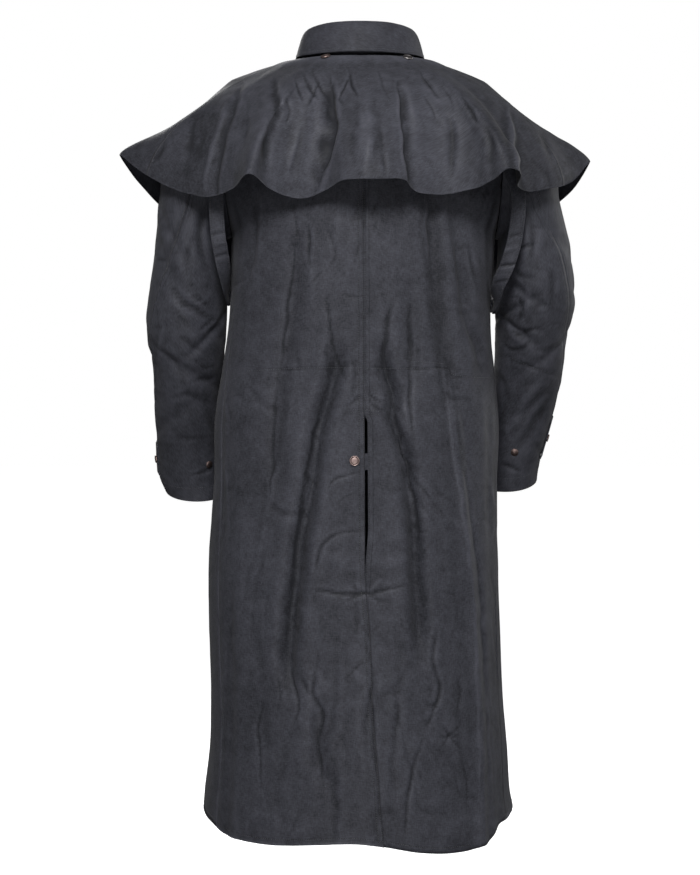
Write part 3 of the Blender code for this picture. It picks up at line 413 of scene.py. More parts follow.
def cape(first, last, cols, rows):
    """A part of the cape between two rows of its hem table, from the neck to the hem."""
    hem = np.array(CAPE_HEM, float)
    marks = np.arange(len(hem), dtype=float)
    fine = np.linspace(0, len(hem) - 1, 1200)
    steps = np.linalg.norm(np.diff(smooth(marks, hem[:, :3], fine), axis=0), axis=1)
    run = np.concatenate([[0], np.cumsum(steps)])
    ends = np.interp((first, last), fine, run)
    length = np.interp(np.linspace(*ends, cols), run, fine)
    edge = smooth(marks, hem, length)
    at_rows = np.interp(np.array(CAPE_NECK_ROWS, float), fine, run)
    angle = np.interp(np.interp(length, fine, run), at_rows, CAPE_NECK_ANGLES)
    over_lap = 0.0042 * step(115, 145, np.abs(angle))
    top = neck(angle, 0.0014 + over_lap, 0.0021 + over_lap)
    t = np.linspace(0, 1, rows)[:, None]
    fall = edge[:, 3][None]
    reach = 1 - (1 - t) ** fall
    near_tip = np.exp(-((np.abs(angle) - 90) / 10) ** 2)
    beyond = np.clip((reach - 0.40) / 0.60, 0, 1)
    bulge = np.where(angle > 0, 0.17, 0.13) * near_tip
    drop = t ** (1.3 + 0.1 * near_tip) + bulge * np.sin(math.pi * beyond)
    grid = np.empty((rows, cols, 3))
    for axis in (0, 1):
        grid[..., axis] = top[:, axis] + (edge[:, axis] - top[:, axis]) * reach
    grid[..., 2] = top[:, 2] + (edge[:, 2] - top[:, 2]) * drop
    return grid


def collar_ring(angle, name):
    knots, values = (column(COLLAR, COLLAR_COLUMNS, c) for c in ("angle", name))
    return smooth(knots, values, np.abs(angle))


def collar_fall(cols, rows):
    """The part of the collar that folds over and stands a little away from the coat."""
    angle = np.linspace(-COLLAR_END, COLLAR_END, cols)
    fold, edge, out = (collar_ring(angle, c) for c in ("fold", "edge", "out"))
    roll = ((-0.0025, -0.0030), (-0.0012, 0.0000), (0.0012, 0.0012), (0.0042, -0.0004))
    grid = []
    for o, h in roll:
        p = neck(angle, o)
        p[:, 2] = fold + h
        grid.append(p)
    for t in np.linspace(0, 1, rows)[1:]:
        p = neck(angle, 0.0042 + (out - 0.0042) * t**0.8)
        p[:, 2] = fold - 0.0004 + (edge - fold) * t
        grid.append(p)
    return np.array(grid)


def collar_stand(cols, rows):
    angle = np.linspace(-STAND_END, STAND_END, cols)
    fold, low = collar_ring(angle, "fold"), collar_ring(angle, "stand")
    grid = []
    for t in np.linspace(0, 1, rows):
        p = neck(angle, -0.0032)
        p[:, 2] = low - 0.003 + (fold - 0.0042 - low + 0.003) * t
        grid.append(p)
    return np.array(grid)


def strap(table, rows, cols):
    marks = np.arange(len(table), dtype=float)
    x, y, z, turn = smooth(marks, np.array(table, float), np.linspace(0, len(table) - 1, rows)).T
    t = np.radians(turn)
    across = np.stack([np.cos(t), np.sin(t), 0 * t], -1)
    line = np.stack([x, y, z], -1)
    way = np.gradient(line, axis=0)
    way /= np.linalg.norm(way, axis=1, keepdims=True)
    across -= way * (across * way).sum(1, keepdims=True)
    across /= np.linalg.norm(across, axis=1, keepdims=True)
    w = np.linspace(-0.5, 0.5, cols) * STRAP_WIDE
    return line[:, None] + across[:, None] * w[None, :, None]


def on_cell(grid, r, c):
    """A place on a piece, at fractions of the rows and columns of its grid."""
    i, j = min(int(r), grid.shape[0] - 2), min(int(c), grid.shape[1] - 2)
    p, q, v, w = grid[i, j], grid[i, j + 1], grid[i + 1, j], grid[i + 1, j + 1]
    f, h = r - i, c - j
    return (p * (1 - h) + q * h) * (1 - f) + (v * (1 - h) + w * h) * f


# the camera of the picture: place, width of a pixel at its middle plane, and the picture's middle
CAMERA = (0.0158, 2.7, -0.5949)
PIXEL = 0.00158
MIDDLE = (350.0, 437.5)
CLOTH = 0.0013          # thickness of the cloth shells
COLLAR_CLOTH = 0.0015   # and of the collar's
THREAD = 0.00034        # radius of the sewing thread
STITCH = 0.0034         # from one stitch to the next
COLLAR_LIFT = 0.0045    # the cape rises by this under the edge of the collar
HOOD_SNAP_LOWER = 0.0028    # the right hood snap shows this much further below the collar than the solid

# creases: half width in pixels, depth in millimetres (a ridge has a minus), how much wider it is on one
# side, and then its run over the picture of the coat's back, x and y of each point
BODY_CREASES = (
    # the edge of the lap below the slit, and round the top of the slit
    (2.6, 3.2, 0, 366, 598, 369, 650, 373, 720, 378, 790, 384, 842),
    (4, 1.8, 0.2, 366, 388, 372, 396, 380, 404), (3.5, 1.4, 0, 367, 399, 375, 407, 385, 412),
    (3.5, -1.1, 0, 368, 392, 377, 397, 388, 399), (3.5, 1.3, 0, 361, 393, 354, 402, 344, 407),
    (3, 1.2, 0, 352, 616, 360, 626, 369, 636), (3, 1.1, 0, 384, 618, 376, 628, 368, 638),
    # the upper back
    (3.5, 2.0, 0.3, 309, 226, 310, 246, 312, 268), (3, 1.5, 0, 308, 286, 314, 278, 321, 271),
    (3.5, 2.0, 0.2, 295, 247, 291, 290, 286, 330, 281, 370), (3, 1.3, 0, 293, 204, 296, 222, 299, 241),
    (3.2, 2.0, 0.2, 326, 288, 329, 315, 335, 350, 341, 368, 348, 383),
    (3, 1.5, 0, 327, 324, 332, 348, 333, 363), (6, 2.6, 0.2, 396, 294, 387, 327, 385, 363, 394, 396),
    (5, 1.8, 0, 409, 302, 411, 351, 409, 394), (3, 1.3, 0, 378, 200, 373, 216, 376, 236),
    (3, 1.3, 0, 354, 206, 362, 226, 360, 246, 353, 270), (3, 1.2, 0, 324, 226, 336, 253, 327, 272),
    (8, 2.8, 0.2, 258, 200, 254, 240, 249, 285), (3, 1.5, 0, 233, 287, 240, 283, 248, 279),
    (3, 1.3, 0, 479, 192, 485, 200, 486, 210, 480, 220), (4, -1.7, 0, 425, 196, 424, 230, 428, 264),
    (3, 1.1, 0, 340, 292, 352, 296, 366, 295), (3, 1.0, 0, 372, 300, 384, 294, 394, 296),
    (5, 2.0, 0, 466, 236, 472, 262, 478, 300), (3, 1.0, 0, 444, 300, 456, 301, 468, 304),
    # thin runs below the waist
    (3.5, 1.8, 0.2, 279, 372, 276, 410, 274, 448, 271, 499),
    (7, -1.2, 0, 299, 372, 290, 410, 283, 448, 272, 495, 264, 535, 252, 590, 244, 644),
    (4, 2.2, 0.2, 409, 372, 410, 405, 413, 440),
    (3.5, -1.8, 0, 442, 372, 456, 468, 466, 535, 472, 590, 475, 644, 479, 742, 479, 801),
    (5, 1.9, 0, 450, 374, 463, 468, 473, 535, 479, 590, 482, 644, 486, 742, 486, 800),
    (6, -1.8, 0, 491, 480, 492, 510, 491, 545), (3.5, -1.5, 0, 228, 372, 227, 450, 228, 538),
    (3.5, -1.5, 0, 227, 644, 223, 723, 221, 801), (4, 1.7, 0, 224, 472, 223, 505, 224, 542),
    (3, 1.2, 0, 235, 633, 240, 635, 244, 638), (3.5, 1.2, 0, 490, 560, 495, 630, 497, 700),
    (3, 1.1, 0, 488, 690, 491, 740, 494, 806), (3.5, 1.0, 0, 505, 700, 507, 760, 508, 815),
    # crumples along the two large folds
    (4, 1.5, 0, 332, 374, 322, 400, 312, 440, 304, 484, 297, 520),
    (4, 1.4, 0.2, 325, 392, 316, 430, 309, 470, 303, 505, 296, 545, 290, 590),
    (4, 1.4, 0, 300, 505, 296, 540, 294, 575, 289, 610, 287, 645),
    (4, 1.5, 0, 392, 396, 400, 440, 409, 476, 416, 515, 420, 560),
    (3, 1.3, 0, 398, 430, 405, 465, 413, 500, 419, 535), (3, 1.6, 0, 322, 392, 331, 401, 338, 414),
    (3, 1.5, 0, 308, 430, 317, 438, 322, 452), (3, 1.4, 0, 300, 470, 310, 478, 318, 490),
    (3, 1.4, 0, 296, 505, 304, 515, 312, 522), (3, 1.4, 0, 286, 560, 296, 568, 306, 570),
    (3, 1.3, 0, 282, 610, 292, 618, 300, 632), (3, -1.2, 0, 326, 398, 320, 410, 314, 428),
    (3, -1.1, 0, 312, 458, 306, 480, 304, 498), (3, 1.5, 0, 392, 404, 402, 412, 408, 426),
    (3, 1.3, 0, 398, 452, 408, 462, 414, 474), (3, 1.4, 0, 408, 520, 418, 530, 428, 532),
    (3, -1.2, 0, 406, 486, 412, 504, 414, 522),
    # the pucker at the middle and the puffs above it
    (4, 3.4, 0.2, 309, 588, 334, 593, 362, 593, 389, 588, 411, 584),
    (3, 1.1, 0, 436, 593, 454, 594, 472, 595), (15, -1.4, 0, 318, 552, 340, 560, 362, 562),
    (15, -1.4, 0, 372, 562, 392, 564, 412, 556), (4, 2.4, 0, 315, 574, 323, 546, 342, 533, 360, 531),
    (4, -1.6, 0, 352, 580, 360, 586, 366, 592), (4, -1.6, 0, 366, 592, 374, 586, 382, 578),
    (3.5, 2.4, 0, 345, 602, 356, 597, 366, 592), (3.5, 2.4, 0, 367, 592, 379, 599, 392, 603),
    (3.2, 1.6, 0, 326, 491, 338, 478, 362, 470), (3, 1.3, 0, 330, 508, 345, 497, 360, 493),
    (3, 1.3, 0, 409, 468, 430, 498, 456, 527), (2.6, 1.1, 0, 416, 462, 436, 488, 460, 511),
    (2.6, 1.1, 0, 405, 482, 424, 508, 446, 538),
    # lower left
    (4, 2.2, 0.2, 289, 668, 299, 703, 293, 727), (3.5, 1.8, 0, 301, 676, 305, 686, 309, 695),
    (4.5, 2.6, 0.2, 319, 652, 313, 691, 323, 715, 319, 735, 321, 762, 325, 785),
    (3, 1.4, 0, 340, 684, 350, 672, 358, 664, 370, 660), (3.5, 1.5, 0, 262, 700, 258, 740, 262, 790),
    (3, 1.3, 0, 272, 660, 280, 690, 276, 716), (3, 1.2, 0, 334, 730, 344, 744, 350, 764),
    # lower right
    (5, 2.8, 0.2, 440, 621, 432, 660, 440, 684, 432, 715, 423, 731),
    (4, 2.4, 0.2, 423, 738, 413, 766, 409, 793, 405, 833), (3, 1.4, 0, 423, 701, 430, 705, 437, 702),
    (3, -1.3, 0, 424, 710, 431, 713, 438, 709), (3, 1.3, 0, 422, 719, 430, 723, 437, 721),
    (3, 1.5, 0, 440, 723, 450, 735, 460, 746), (3, 1.4, 0, 460, 724, 450, 735, 441, 746),
    (2.6, 1.1, 0, 436, 736, 450, 736, 462, 733), (3, 1.3, 0, 452, 660, 460, 690, 456, 716),
    (3, 1.2, 0, 392, 680, 398, 710, 394, 742), (3, 1.2, 0, 462, 760, 468, 790, 466, 820),
    # broad and soft
    (14, 2.0, 0.2, 262, 520, 256, 620, 262, 700, 272, 790), (12, 1.8, 0, 287, 740, 280, 790, 285, 836),
    (11, 1.9, 0.3, 339, 640, 333, 730, 338, 836), (9, 1.5, 0, 399, 640, 396, 720, 391, 806),
    (10, 1.7, 0, 454, 630, 461, 740, 467, 828), (8, 1.5, 0, 250, 388, 262, 404, 281, 412),
    (6, 1.4, 0, 440, 389, 452, 399, 470, 402), (8, 1.4, 0.2, 268, 500, 284, 512, 306, 514),
    (7, -1.2, 0, 438, 500, 450, 520, 468, 527),
    # the casing at the waist draws a line
    (2.4, 1.0, 0, 247, 371, 275, 369.5, 305, 368, 335, 367.6, 363, 367.5),
    (2.4, 1.0, 0, 366, 368, 405, 368.4, 444, 368.8, 452, 376, 474, 377, 495, 378),
)
# short gathers across the casing at the waist: where, how far up and down, half width, depth
WAIST_GATHERS = (
    (268, 16, 22, 6, 0.8), (297, 24, 12, 6, 1.0), (328, 26, 20, 7, 1.2), (353, 12, 26, 5, 1.1),
    (389, 20, 30, 6, 1.2),
    (417, 24, 14, 6, 0.9), (446, 10, 20, 6, 0.8), (476, 22, 12, 6, 0.9),
)
CAPE_CREASES = (
    (8, 5.0, 0.3, 243, 86, 232, 117, 224, 146, 219, 175, 217, 199),
    (5, -2.6, 0, 228, 104, 218, 132, 209, 164, 206, 192),
    (10, 8.5, 0.3, 276, 84, 276, 112, 269, 145, 264, 176),
    (15, 15.0, 0.5, 331, 84, 334, 123, 328, 153, 318, 190),
    (8, 10.0, -0.5, 397, 84, 403, 116, 405.5, 153, 409, 186), (3.5, 2.4, 0, 348, 66, 351, 82, 357, 99),
    (3.5, 2.6, 0, 302, 75, 308, 85, 318, 99), (3, 2.2, 0, 312, 73, 318, 84, 325, 95),
    (3.5, 2.4, 0, 294, 78, 298, 90, 304, 102), (5, 3.2, 0.2, 462, 94, 470, 108, 477, 123),
    (6, -4.0, 0.2, 508, 104, 511, 136, 513, 152, 519, 176), (3.5, 2.0, 0, 378, 70, 382, 84, 389, 101),
    (4, 2.4, 0, 419, 72, 428, 86, 441, 99), (9, 3.2, 0, 446, 110, 452, 140, 452, 178),
    (8, 2.6, 0, 486, 126, 492, 150, 494, 182), (7, -3.0, 0.3, 304, 112, 296, 140, 288, 176),
    (7, 1.5, 0, 364, 104, 366, 132, 362, 166), (6, 1.4, 0, 378, 118, 384, 146, 384, 178),
    (7, 1.6, 0, 250, 100, 246, 130, 240, 160), (6, 1.6, 0, 196, 120, 190, 142, 184, 168),
    (6, 1.4, 0, 168, 140, 160, 156, 150, 168), (6, 1.5, 0, 540, 130, 548, 152, 554, 172),
    (16, -5.0, 0, 364, 92, 366, 130, 364, 176), (3, 2.2, 0, 318, 82, 313, 96, 306, 110),
    (3, 1.8, 0, 330, 84, 336, 96, 345, 104), (3, 1.8, 0, 352, 72, 344, 88, 338, 102),
    (2.6, 1.6, 0, 326, 104, 330, 116, 340, 124), (3, 1.6, 0, 424, 96, 432, 108, 436, 122),
    (3, 1.5, 0, 442, 88, 450, 100, 452, 114), (3, 1.6, 0, 282, 96, 288, 110, 286, 126),
    (24, 5.0, 0, 212, 106, 194, 142, 180, 180),
)
SLEEVE_LEFT_CREASES = (
    (5, 3.6, 0.3, 171, 286, 181, 298, 192.5, 307, 208.5, 316, 218, 317),
    (5, 3.0, 0, 217, 317, 208, 323, 197, 331), (5, -2.0, 0, 176, 281, 188, 296, 204, 306),
    (4, 2.2, 0, 189, 280, 198, 288, 207, 284), (4, 2.3, 0, 190, 292, 200, 298, 209, 304),
    (3.5, -1.6, 0, 195, 303, 204, 298, 211, 289), (4, 2.2, 0, 153, 254, 161, 258, 168, 263),
    (4, 1.9, 0, 189, 359, 205, 366, 216, 364), (4, 2.2, 0, 190, 380, 205, 378, 216, 375),
    (7, 1.8, 0, 174, 328, 190, 344, 204, 351), (7, 1.7, 0, 172, 398, 190, 395, 210, 405),
    (9, 4.0, 0.2, 203, 210, 200, 236, 206, 268), (7, 1.9, 0, 188, 204, 178, 230, 167, 264),
    (4, 1.6, 0, 191, 474, 202, 471, 216, 466), (8, 2.2, 0, 205, 392, 207, 412, 213, 434),
    (6, 1.5, 0, 166, 420, 180, 436, 200, 440), (5, -1.4, 0, 160, 300, 163, 330, 160, 362),
    (6, 1.4, 0, 164, 350, 178, 366, 184, 384), (7, 1.6, 0, 196, 232, 188, 250, 186, 272),
    (5, 1.4, 0, 176, 310, 186, 322, 196, 326),
)
SLEEVE_RIGHT_CREASES = (
    (4, 3.0, 0.2, 516, 247, 525, 244, 536, 243), (4.5, 3.2, 0, 512, 297, 520, 299, 524, 309, 519, 322),
    (4, -2.2, 0, 523, 282, 530, 290, 528, 304, 525, 316),
    (4.5, 3.8, 0.3, 504, 341, 511, 349, 520, 347, 530, 339),
    (3, 1.6, 0.2, 506, 354, 518, 361, 536, 369, 562, 377), (4, 1.6, 0, 509, 330, 520, 335, 534, 328),
    (5, 1.4, 0, 530, 313, 540, 305, 550, 308), (4, 1.4, 0, 515, 325, 526, 331, 538, 330, 550, 335),
    (10, -3.2, 0.2, 540, 380, 522, 408, 506, 436), (10, 2.8, 0, 552, 394, 534, 424, 516, 452),
    (4, 1.7, 0, 501, 462, 510, 466, 521, 471), (6, 2.0, 0, 500, 372, 507, 392, 504, 416),
    (6, 1.6, 0, 528, 212, 533, 232, 530, 262), (7, 1.5, 0, 545, 262, 552, 286, 550, 318),
    (5, 1.3, 0, 534, 346, 545, 350, 556, 346), (6, 1.6, 0, 515, 268, 522, 276, 534, 276),
    (5, -1.5, 0, 508, 322, 514, 338, 526, 344), (5, 1.4, 0, 532, 440, 540, 452, 546, 470),
)
STRAP_CREASES = (
    (4, 1.5, 0, 206, 236, 218, 232, 230, 230), (4, 1.7, 0, 208, 258, 222, 254, 236, 252),
    (4, -1.3, 0, 212, 246, 222, 242, 232, 243), (4, 1.7, 0, 504, 238, 514, 235, 526, 233),
    (3.5, 1.9, 0, 498, 267, 508, 265, 520, 262), (3.5, 1.9, 0, 491, 284, 502, 281, 514, 280),
    (4, -1.3, 0, 500, 252, 510, 249, 520, 248),
)
# the hidden sides have creases of the same kinds, over the same view taken from the front
FRONT_CREASES = (
    (12, 2.2, 0.2, 262, 430, 268, 540, 262, 660, 254, 800),
    (10, 1.8, 0, 300, 460, 294, 600, 300, 740, 306, 830), (9, 1.7, 0, 330, 640, 326, 740, 331, 836),
    (12, 2.1, 0, 428, 420, 436, 560, 430, 700, 440, 830), (9, 1.6, 0.2, 462, 470, 456, 620, 464, 790),
    (4, -1.5, 0, 232, 390, 236, 500, 232, 640, 236, 800),
    (4, -1.5, 0, 482, 400, 478, 520, 484, 660, 482, 800), (5, 1.6, 0, 392, 380, 404, 394, 424, 400),
    (5, 1.7, 0, 312, 382, 300, 398, 282, 402), (6, 1.8, 0, 410, 300, 424, 316, 446, 322),
    (6, 1.8, 0, 292, 296, 280, 318, 262, 328), (7, 1.7, 0, 396, 230, 404, 260, 400, 300),
    (7, 1.6, 0, 306, 236, 300, 262, 304, 292), (4, 1.5, 0, 402, 560, 416, 566, 436, 562),
    (4, 1.4, 0, 286, 600, 300, 606, 318, 602), (8, 1.5, 0, 410, 640, 404, 720, 408, 810),
)
FRONT_CAPE_CREASES = (
    (8, 3.2, 0.2, 300, 92, 294, 130, 290, 180), (8, 3.0, 0, 430, 96, 438, 136, 440, 186),
    (6, 2.2, 0, 250, 96, 240, 130, 230, 170), (6, 2.4, 0, 476, 92, 488, 130, 498, 168),
    (5, 1.6, 0, 330, 110, 326, 150, 330, 190), (5, 1.5, 0, 396, 112, 402, 150, 398, 192),
    (6, 1.6, 0, 206, 116, 194, 140, 180, 164), (6, 1.7, 0, 520, 112, 534, 140, 548, 160),
)
FRONT_SLEEVE_CREASES = (
    (5, 3.2, 0.2, 178, 300, 190, 310, 206, 312), (5, 2.6, 0, 166, 330, 180, 340, 200, 338),
    (4, -1.8, 0, 172, 316, 186, 326, 202, 326), (6, 2.0, 0, 160, 380, 176, 392, 194, 388),
    (7, 2.0, 0, 184, 230, 180, 256, 186, 280), (6, 1.6, 0, 170, 430, 184, 440, 200, 436),
    (5, 3.2, 0.2, 510, 306, 524, 314, 540, 308), (5, 2.6, 0, 508, 338, 524, 344, 542, 336),
    (4, -1.8, 0, 514, 322, 528, 330, 544, 322), (6, 2.0, 0, 512, 380, 528, 392, 546, 384),
    (7, 2.0, 0, 530, 226, 536, 254, 530, 282), (6, 1.6, 0, 516, 432, 530, 440, 544, 434),
)
# sewn lines drawn over the picture of the back
BODY_SEAMS = (
    ((247, 371), (275, 369.5), (305, 368), (335, 367.6), (363, 367.5)),
    ((366, 368.2), (405, 368.6), (444, 369), (452, 374), (470, 377), (496, 378)),
    ((407, 361), (426, 362), (445, 364)), ((350, 409), (358, 410), (364, 409.6)),
    ((366, 409.6), (374, 411), (381, 411.5)), ((350, 412.4), (358, 413.2), (364, 412.8)),
    ((366, 412.8), (374, 414), (381, 414.6)),
)
CAPE_SEAMS = (
    ((300, 79), (312, 74), (332, 67.5), (361, 66), (388, 63), (432, 62), (446, 66)),
    ((362, 72), (384, 69.5), (405, 66)),
)
SLEEVE_SEAMS = (((510, 357), (522, 363), (536, 369), (550, 373), (560, 376)),)
FRONT_SEAMS = (((236, 371), (300, 369), (345, 368)), ((372, 369), (430, 370), (482, 373)))


def seen(points, face=1):
    """Where the picture shows the points; face -1 is the same view taken from the front."""
    s = PIXEL * (CAMERA[1] - face * points[..., 1]) / CAMERA[1]
    return np.stack([MIDDLE[0] - face * (points[..., 0] - CAMERA[0]) / s,
                     MIDDLE[1] - (points[..., 2] - CAMERA[2]) / s], -1)


def crease_push(points, creases, face=1):
    """How far the creases move each point outward."""
    at = seen(points, face) + 1.7 * np.stack([drift(points, 0.024, 61), drift(points, 0.024, 62)], -1)
    uneven = 0.85 + 0.5 * drift(points, 0.032, 63)
    total = np.zeros(points.shape[:-1])
    for width, depth, lean, *run in creases:
        run = np.reshape(run, (-1, 2)).astype(float)
        run = smooth(np.arange(len(run)), run, np.linspace(0, len(run) - 1, 6 * len(run)))
        w = width / (PIXEL * 1000) * 1.06
        near = np.all((at > run.min(0) - 4 * w) & (at < run.max(0) + 4 * w), -1)
        p = at[near]
        if not len(p):
            continue
        a, d = run[:-1], np.diff(run, axis=0)
        long = np.maximum((d**2).sum(1), 1e-9)
        t = np.clip(((p[:, None] - a) * d).sum(2) / long, 0, 1)
        off = p[:, None] - a - t[..., None] * d
        far = np.hypot(off[..., 0], off[..., 1])
        k = far.argmin(1)
        i = np.arange(len(p))
        side = np.sign(d[k, 0] * off[i, k, 1] - d[k, 1] * off[i, k, 0])
        start = np.concatenate([[0], np.cumsum(np.sqrt(long))])
        share = (start[k] + t[i, k] * np.sqrt(long[k])) / start[-1]
        body = np.sin(math.pi * np.clip(share, 0.02, 0.98)) ** 0.6
        q = far[i, k] / (w * (0.6 + 0.4 * body) * (1 + lean * side))
        keen = 0.45 * min(max((7 - width) / 4, 0), 1)
        form = (1 - keen) * (1 - 0.8 * q * q) * np.exp(-q * q) + keen * np.exp(-2.0 * q)
        total[near] -= depth / 1000 * (1.25 if width < 7 else 1.0) * body * form
    return total * uneven


def drift(points, size, seed):
    """Smooth random values from -1 to 1 that change over the given size."""
    q = points / np.asarray(size) + seed * 11.37
    i = np.floor(q).astype(np.int64)
    f = q - i
    f = f * f * f * (f * (f * 6 - 15) + 10)
    total = 0.0
    for x in (0, 1):
        for y in (0, 1):
            for z in (0, 1):
                h = ((i[..., 0] + x) * 73856093) ^ ((i[..., 1] + y) * 19349663)
                h = h ^ ((i[..., 2] + z) * 83492791) ^ (seed * 7919)
                h = ((h ^ (h >> 13)) * 1274126177) & 0x7FFFFFFF
                value = ((h ^ (h >> 15)) & 0xFFFF) / 32767.5 - 1
                for axis, far in enumerate((x, y, z)):
                    value = value * (f[..., axis] if far else 1 - f[..., axis])
                total = total + value
    return total


def rumple(points, amount, tall=2.0):
    """Small irregular wrinkles with sharper tops than troughs."""
    bend = drift(points, 0.11, 3) * 0.018
    p = points + bend[..., None]
    push = 0.0
    for k, (size, deep) in enumerate(((0.085, 0.0017), (0.043, 0.0011), (0.022, 0.0006))):
        push = push + deep * (0.5 - np.abs(drift(p, (size, size, size * tall), 20 + k)) ** 0.8)
    for k, (size, deep) in enumerate(((0.052, 0.0012), (0.030, 0.0008))):
        thin = np.exp(-np.abs(drift(p, (size, size, size * tall * 0.8), 40 + k)) / 0.11)
        push = push - deep * thin * np.clip(drift(points, size * 1.7, 50 + k) * 2.2, 0, 1)
    strong = 0.60 + 0.40 * drift(points, 0.16, 9)
    return push * amount * strong


def outward(grid, away):
    n = normals(grid)
    return n if (n * (grid - away)).sum() > 0 else -n


def run_along(grid, axis):
    """How far each point is from the start of its row (axis 1) or its column (axis 0)."""
    start = np.zeros_like(np.take(grid[..., 0], [0], axis))
    steps = np.linalg.norm(np.diff(grid, axis=axis), axis=2)
    return np.concatenate([start, np.cumsum(steps, axis=axis)], axis)


def blurred(field, times):
    for _ in range(times):
        p = np.pad(field, 1, mode="edge")
        field = (p[:-2, 1:-1] + p[2:, 1:-1] + p[1:-1, :-2] + p[1:-1, 2:] + 2 * field) / 6
    return field


def shell(name, grid, n, finish, marks, thick=CLOTH):
    """A thin closed sheet round the grid that carries how far each point is from its edges."""
    rows, cols = grid.shape[:2]
    u, v = run_along(grid, 1), run_along(grid, 0)
    verts = np.concatenate([(grid - n * thick / 2).reshape(-1, 3), (grid + n * thick / 2).reshape(-1, 3)])
    off = rows * cols
    ids = np.arange(off).reshape(rows, cols)
    quads = np.stack([ids[:-1, :-1], ids[:-1, 1:], ids[1:, 1:], ids[1:, :-1]], -1).reshape(-1, 4)
    rim = np.concatenate([ids[0, :], ids[1:, -1], ids[-1, -2::-1], ids[-2:0:-1, 0]])
    after = np.roll(rim, -1)
    out = quads + off
    corner = np.cross(grid[0, 1] - grid[0, 0], grid[1, 0] - grid[0, 0])
    if (corner * n[0, 0]).sum() < 0:
        out = out[:, ::-1]
        sides = np.stack([after, rim, rim + off, after + off], -1)[:, ::-1]
    else:
        quads = quads[:, ::-1]
        sides = np.stack([rim, after, after + off, rim + off], -1)
    faces = np.concatenate([quads, out, sides])
    mesh = bpy.data.meshes.new(name)
    mesh.from_pydata(verts.tolist(), [], faces.tolist())
    flat = np.stack([u, v], -1).reshape(-1, 2)
    loops = np.empty(len(mesh.loops), np.int32)
    mesh.loops.foreach_get("vertex_index", loops)
    layer = mesh.uv_layers.new(name="cloth")
    layer.data.foreach_set("uv", flat[loops % off].astype(np.float32).ravel())
    for tag, parts in (("edges", (u, u[:, -1:] - u, v)), ("marks", marks)):
        values = np.stack([np.broadcast_to(p, u.shape) for p in parts], -1).reshape(-1, 3)
        mesh.attributes.new(tag, "FLOAT_VECTOR", "POINT").data.foreach_set(
            "vector", np.concatenate([values, values]).astype(np.float32).ravel())
    mesh.polygons.foreach_set("use_smooth", [True] * len(mesh.polygons))
    mesh.materials.append(finish)
    ob = bpy.data.objects.new(name, mesh)
    bpy.context.scene.collection.objects.link(ob)
    return ob


class Cloth:
    """A sewn piece: its grid of points, the way out at each, and the object that shows it."""

    def __init__(self, node, grid, away, finish, flat, area, held, rests_on, push=0.0, thick=CLOTH, deep=0.0,
                 broad=60, full=0.009):
        n = outward(grid, away)
        push = np.broadcast_to(push, grid.shape[:2])
        ridge = push - blurred(push, 10)
        self.grid = grid + n * (push + WALL / 2)[..., None]
        self.normal = outward(self.grid, away)
        # the marks hold fine ridges, fine troughs and broad fold valleys; the cotton paints shade into the
        # troughs and fold valleys and light onto broad rises, and lightens the ridges, partly as rubbed wear
        # and partly as painted highlight
        marks = (np.clip(ridge / 0.0009, 0, 1), np.clip(-ridge / 0.0013, 0, 1),
                 np.clip((blurred(push, broad) - push - deep) / full, -0.6, 1))
        self.object = shell(f"cloth_{node}", self.grid, self.normal, finish, marks, thick)
        self.thick = thick
        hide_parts(node)
        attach(self.object, "root")

    def along_edge(self, edge, inset, share=1.0):
        """A line on the outside at a distance from the first, last, low or high edge, for a share of it."""
        g, n = self.grid, self.normal
        if edge in ("first", "last"):
            g, n = g.transpose(1, 0, 2), n.transpose(1, 0, 2)
        if edge in ("last", "high"):
            g, n = g[::-1], n[::-1]
        far = run_along(g, 0)
        c = np.arange(int(share * (g.shape[1] - 1)) + 1)
        rows = np.array([np.interp(inset, far[:, i], np.arange(len(g))) for i in c])
        r = rows.astype(int)
        after, part = np.minimum(r + 1, len(g) - 1), (rows - r)[:, None]
        way = n[r, c] + (n[after, c] - n[r, c]) * part
        way /= np.linalg.norm(way, axis=1, keepdims=True)
        return g[r, c] + (g[after, c] - g[r, c]) * part + way * self.thick / 2, way


def tree_of(*cloths):
    """The outsides of some pieces, ready to be met by a ray or asked for their nearest point."""
    verts, faces, count = [], [], 0
    for cloth in cloths:
        out = cloth.grid + cloth.normal * cloth.thick / 2
        rows, cols = out.shape[:2]
        ids = np.arange(rows * cols).reshape(rows, cols) + count
        verts.append(out.reshape(-1, 3))
        faces.append(np.stack([ids[:-1, :-1], ids[:-1, 1:], ids[1:, 1:], ids[1:, :-1]], -1).reshape(-1, 4))
        count += rows * cols
    return BVHTree.FromPolygons(np.concatenate(verts).tolist(), np.concatenate(faces).tolist())


def drawn(tree, run, face=1):
    """A line drawn over the picture and laid on the cloth that it meets."""
    run = np.array(run, float)
    run = smooth(np.arange(len(run)), run, np.linspace(0, len(run) - 1, 16 * len(run)))
    eye = Vector((CAMERA[0], face * CAMERA[1], CAMERA[2]))
    points, ways = [], []
    for x, y in run:
        way = Vector((-face * (x - MIDDLE[0]) * PIXEL, -face * CAMERA[1], -(y - MIDDLE[1]) * PIXEL))
        way.normalize()
        hit, n, _, _ = tree.ray_cast(eye, way)
        if hit is not None:
            points.append(hit)
            ways.append(n if n.dot(way) < 0 else -n)
    return np.array(points), np.array(ways)


# a stitch: share of its length, of the thread's radius, and its rise in radii
THREAD_RINGS = ((0.0, 0.25, -0.9), (0.14, 0.85, -0.1), (0.5, 1.0, 0.35), (0.86, 0.85, -0.1),
                (1.0, 0.25, -0.9))
THREAD_SIDES = 4


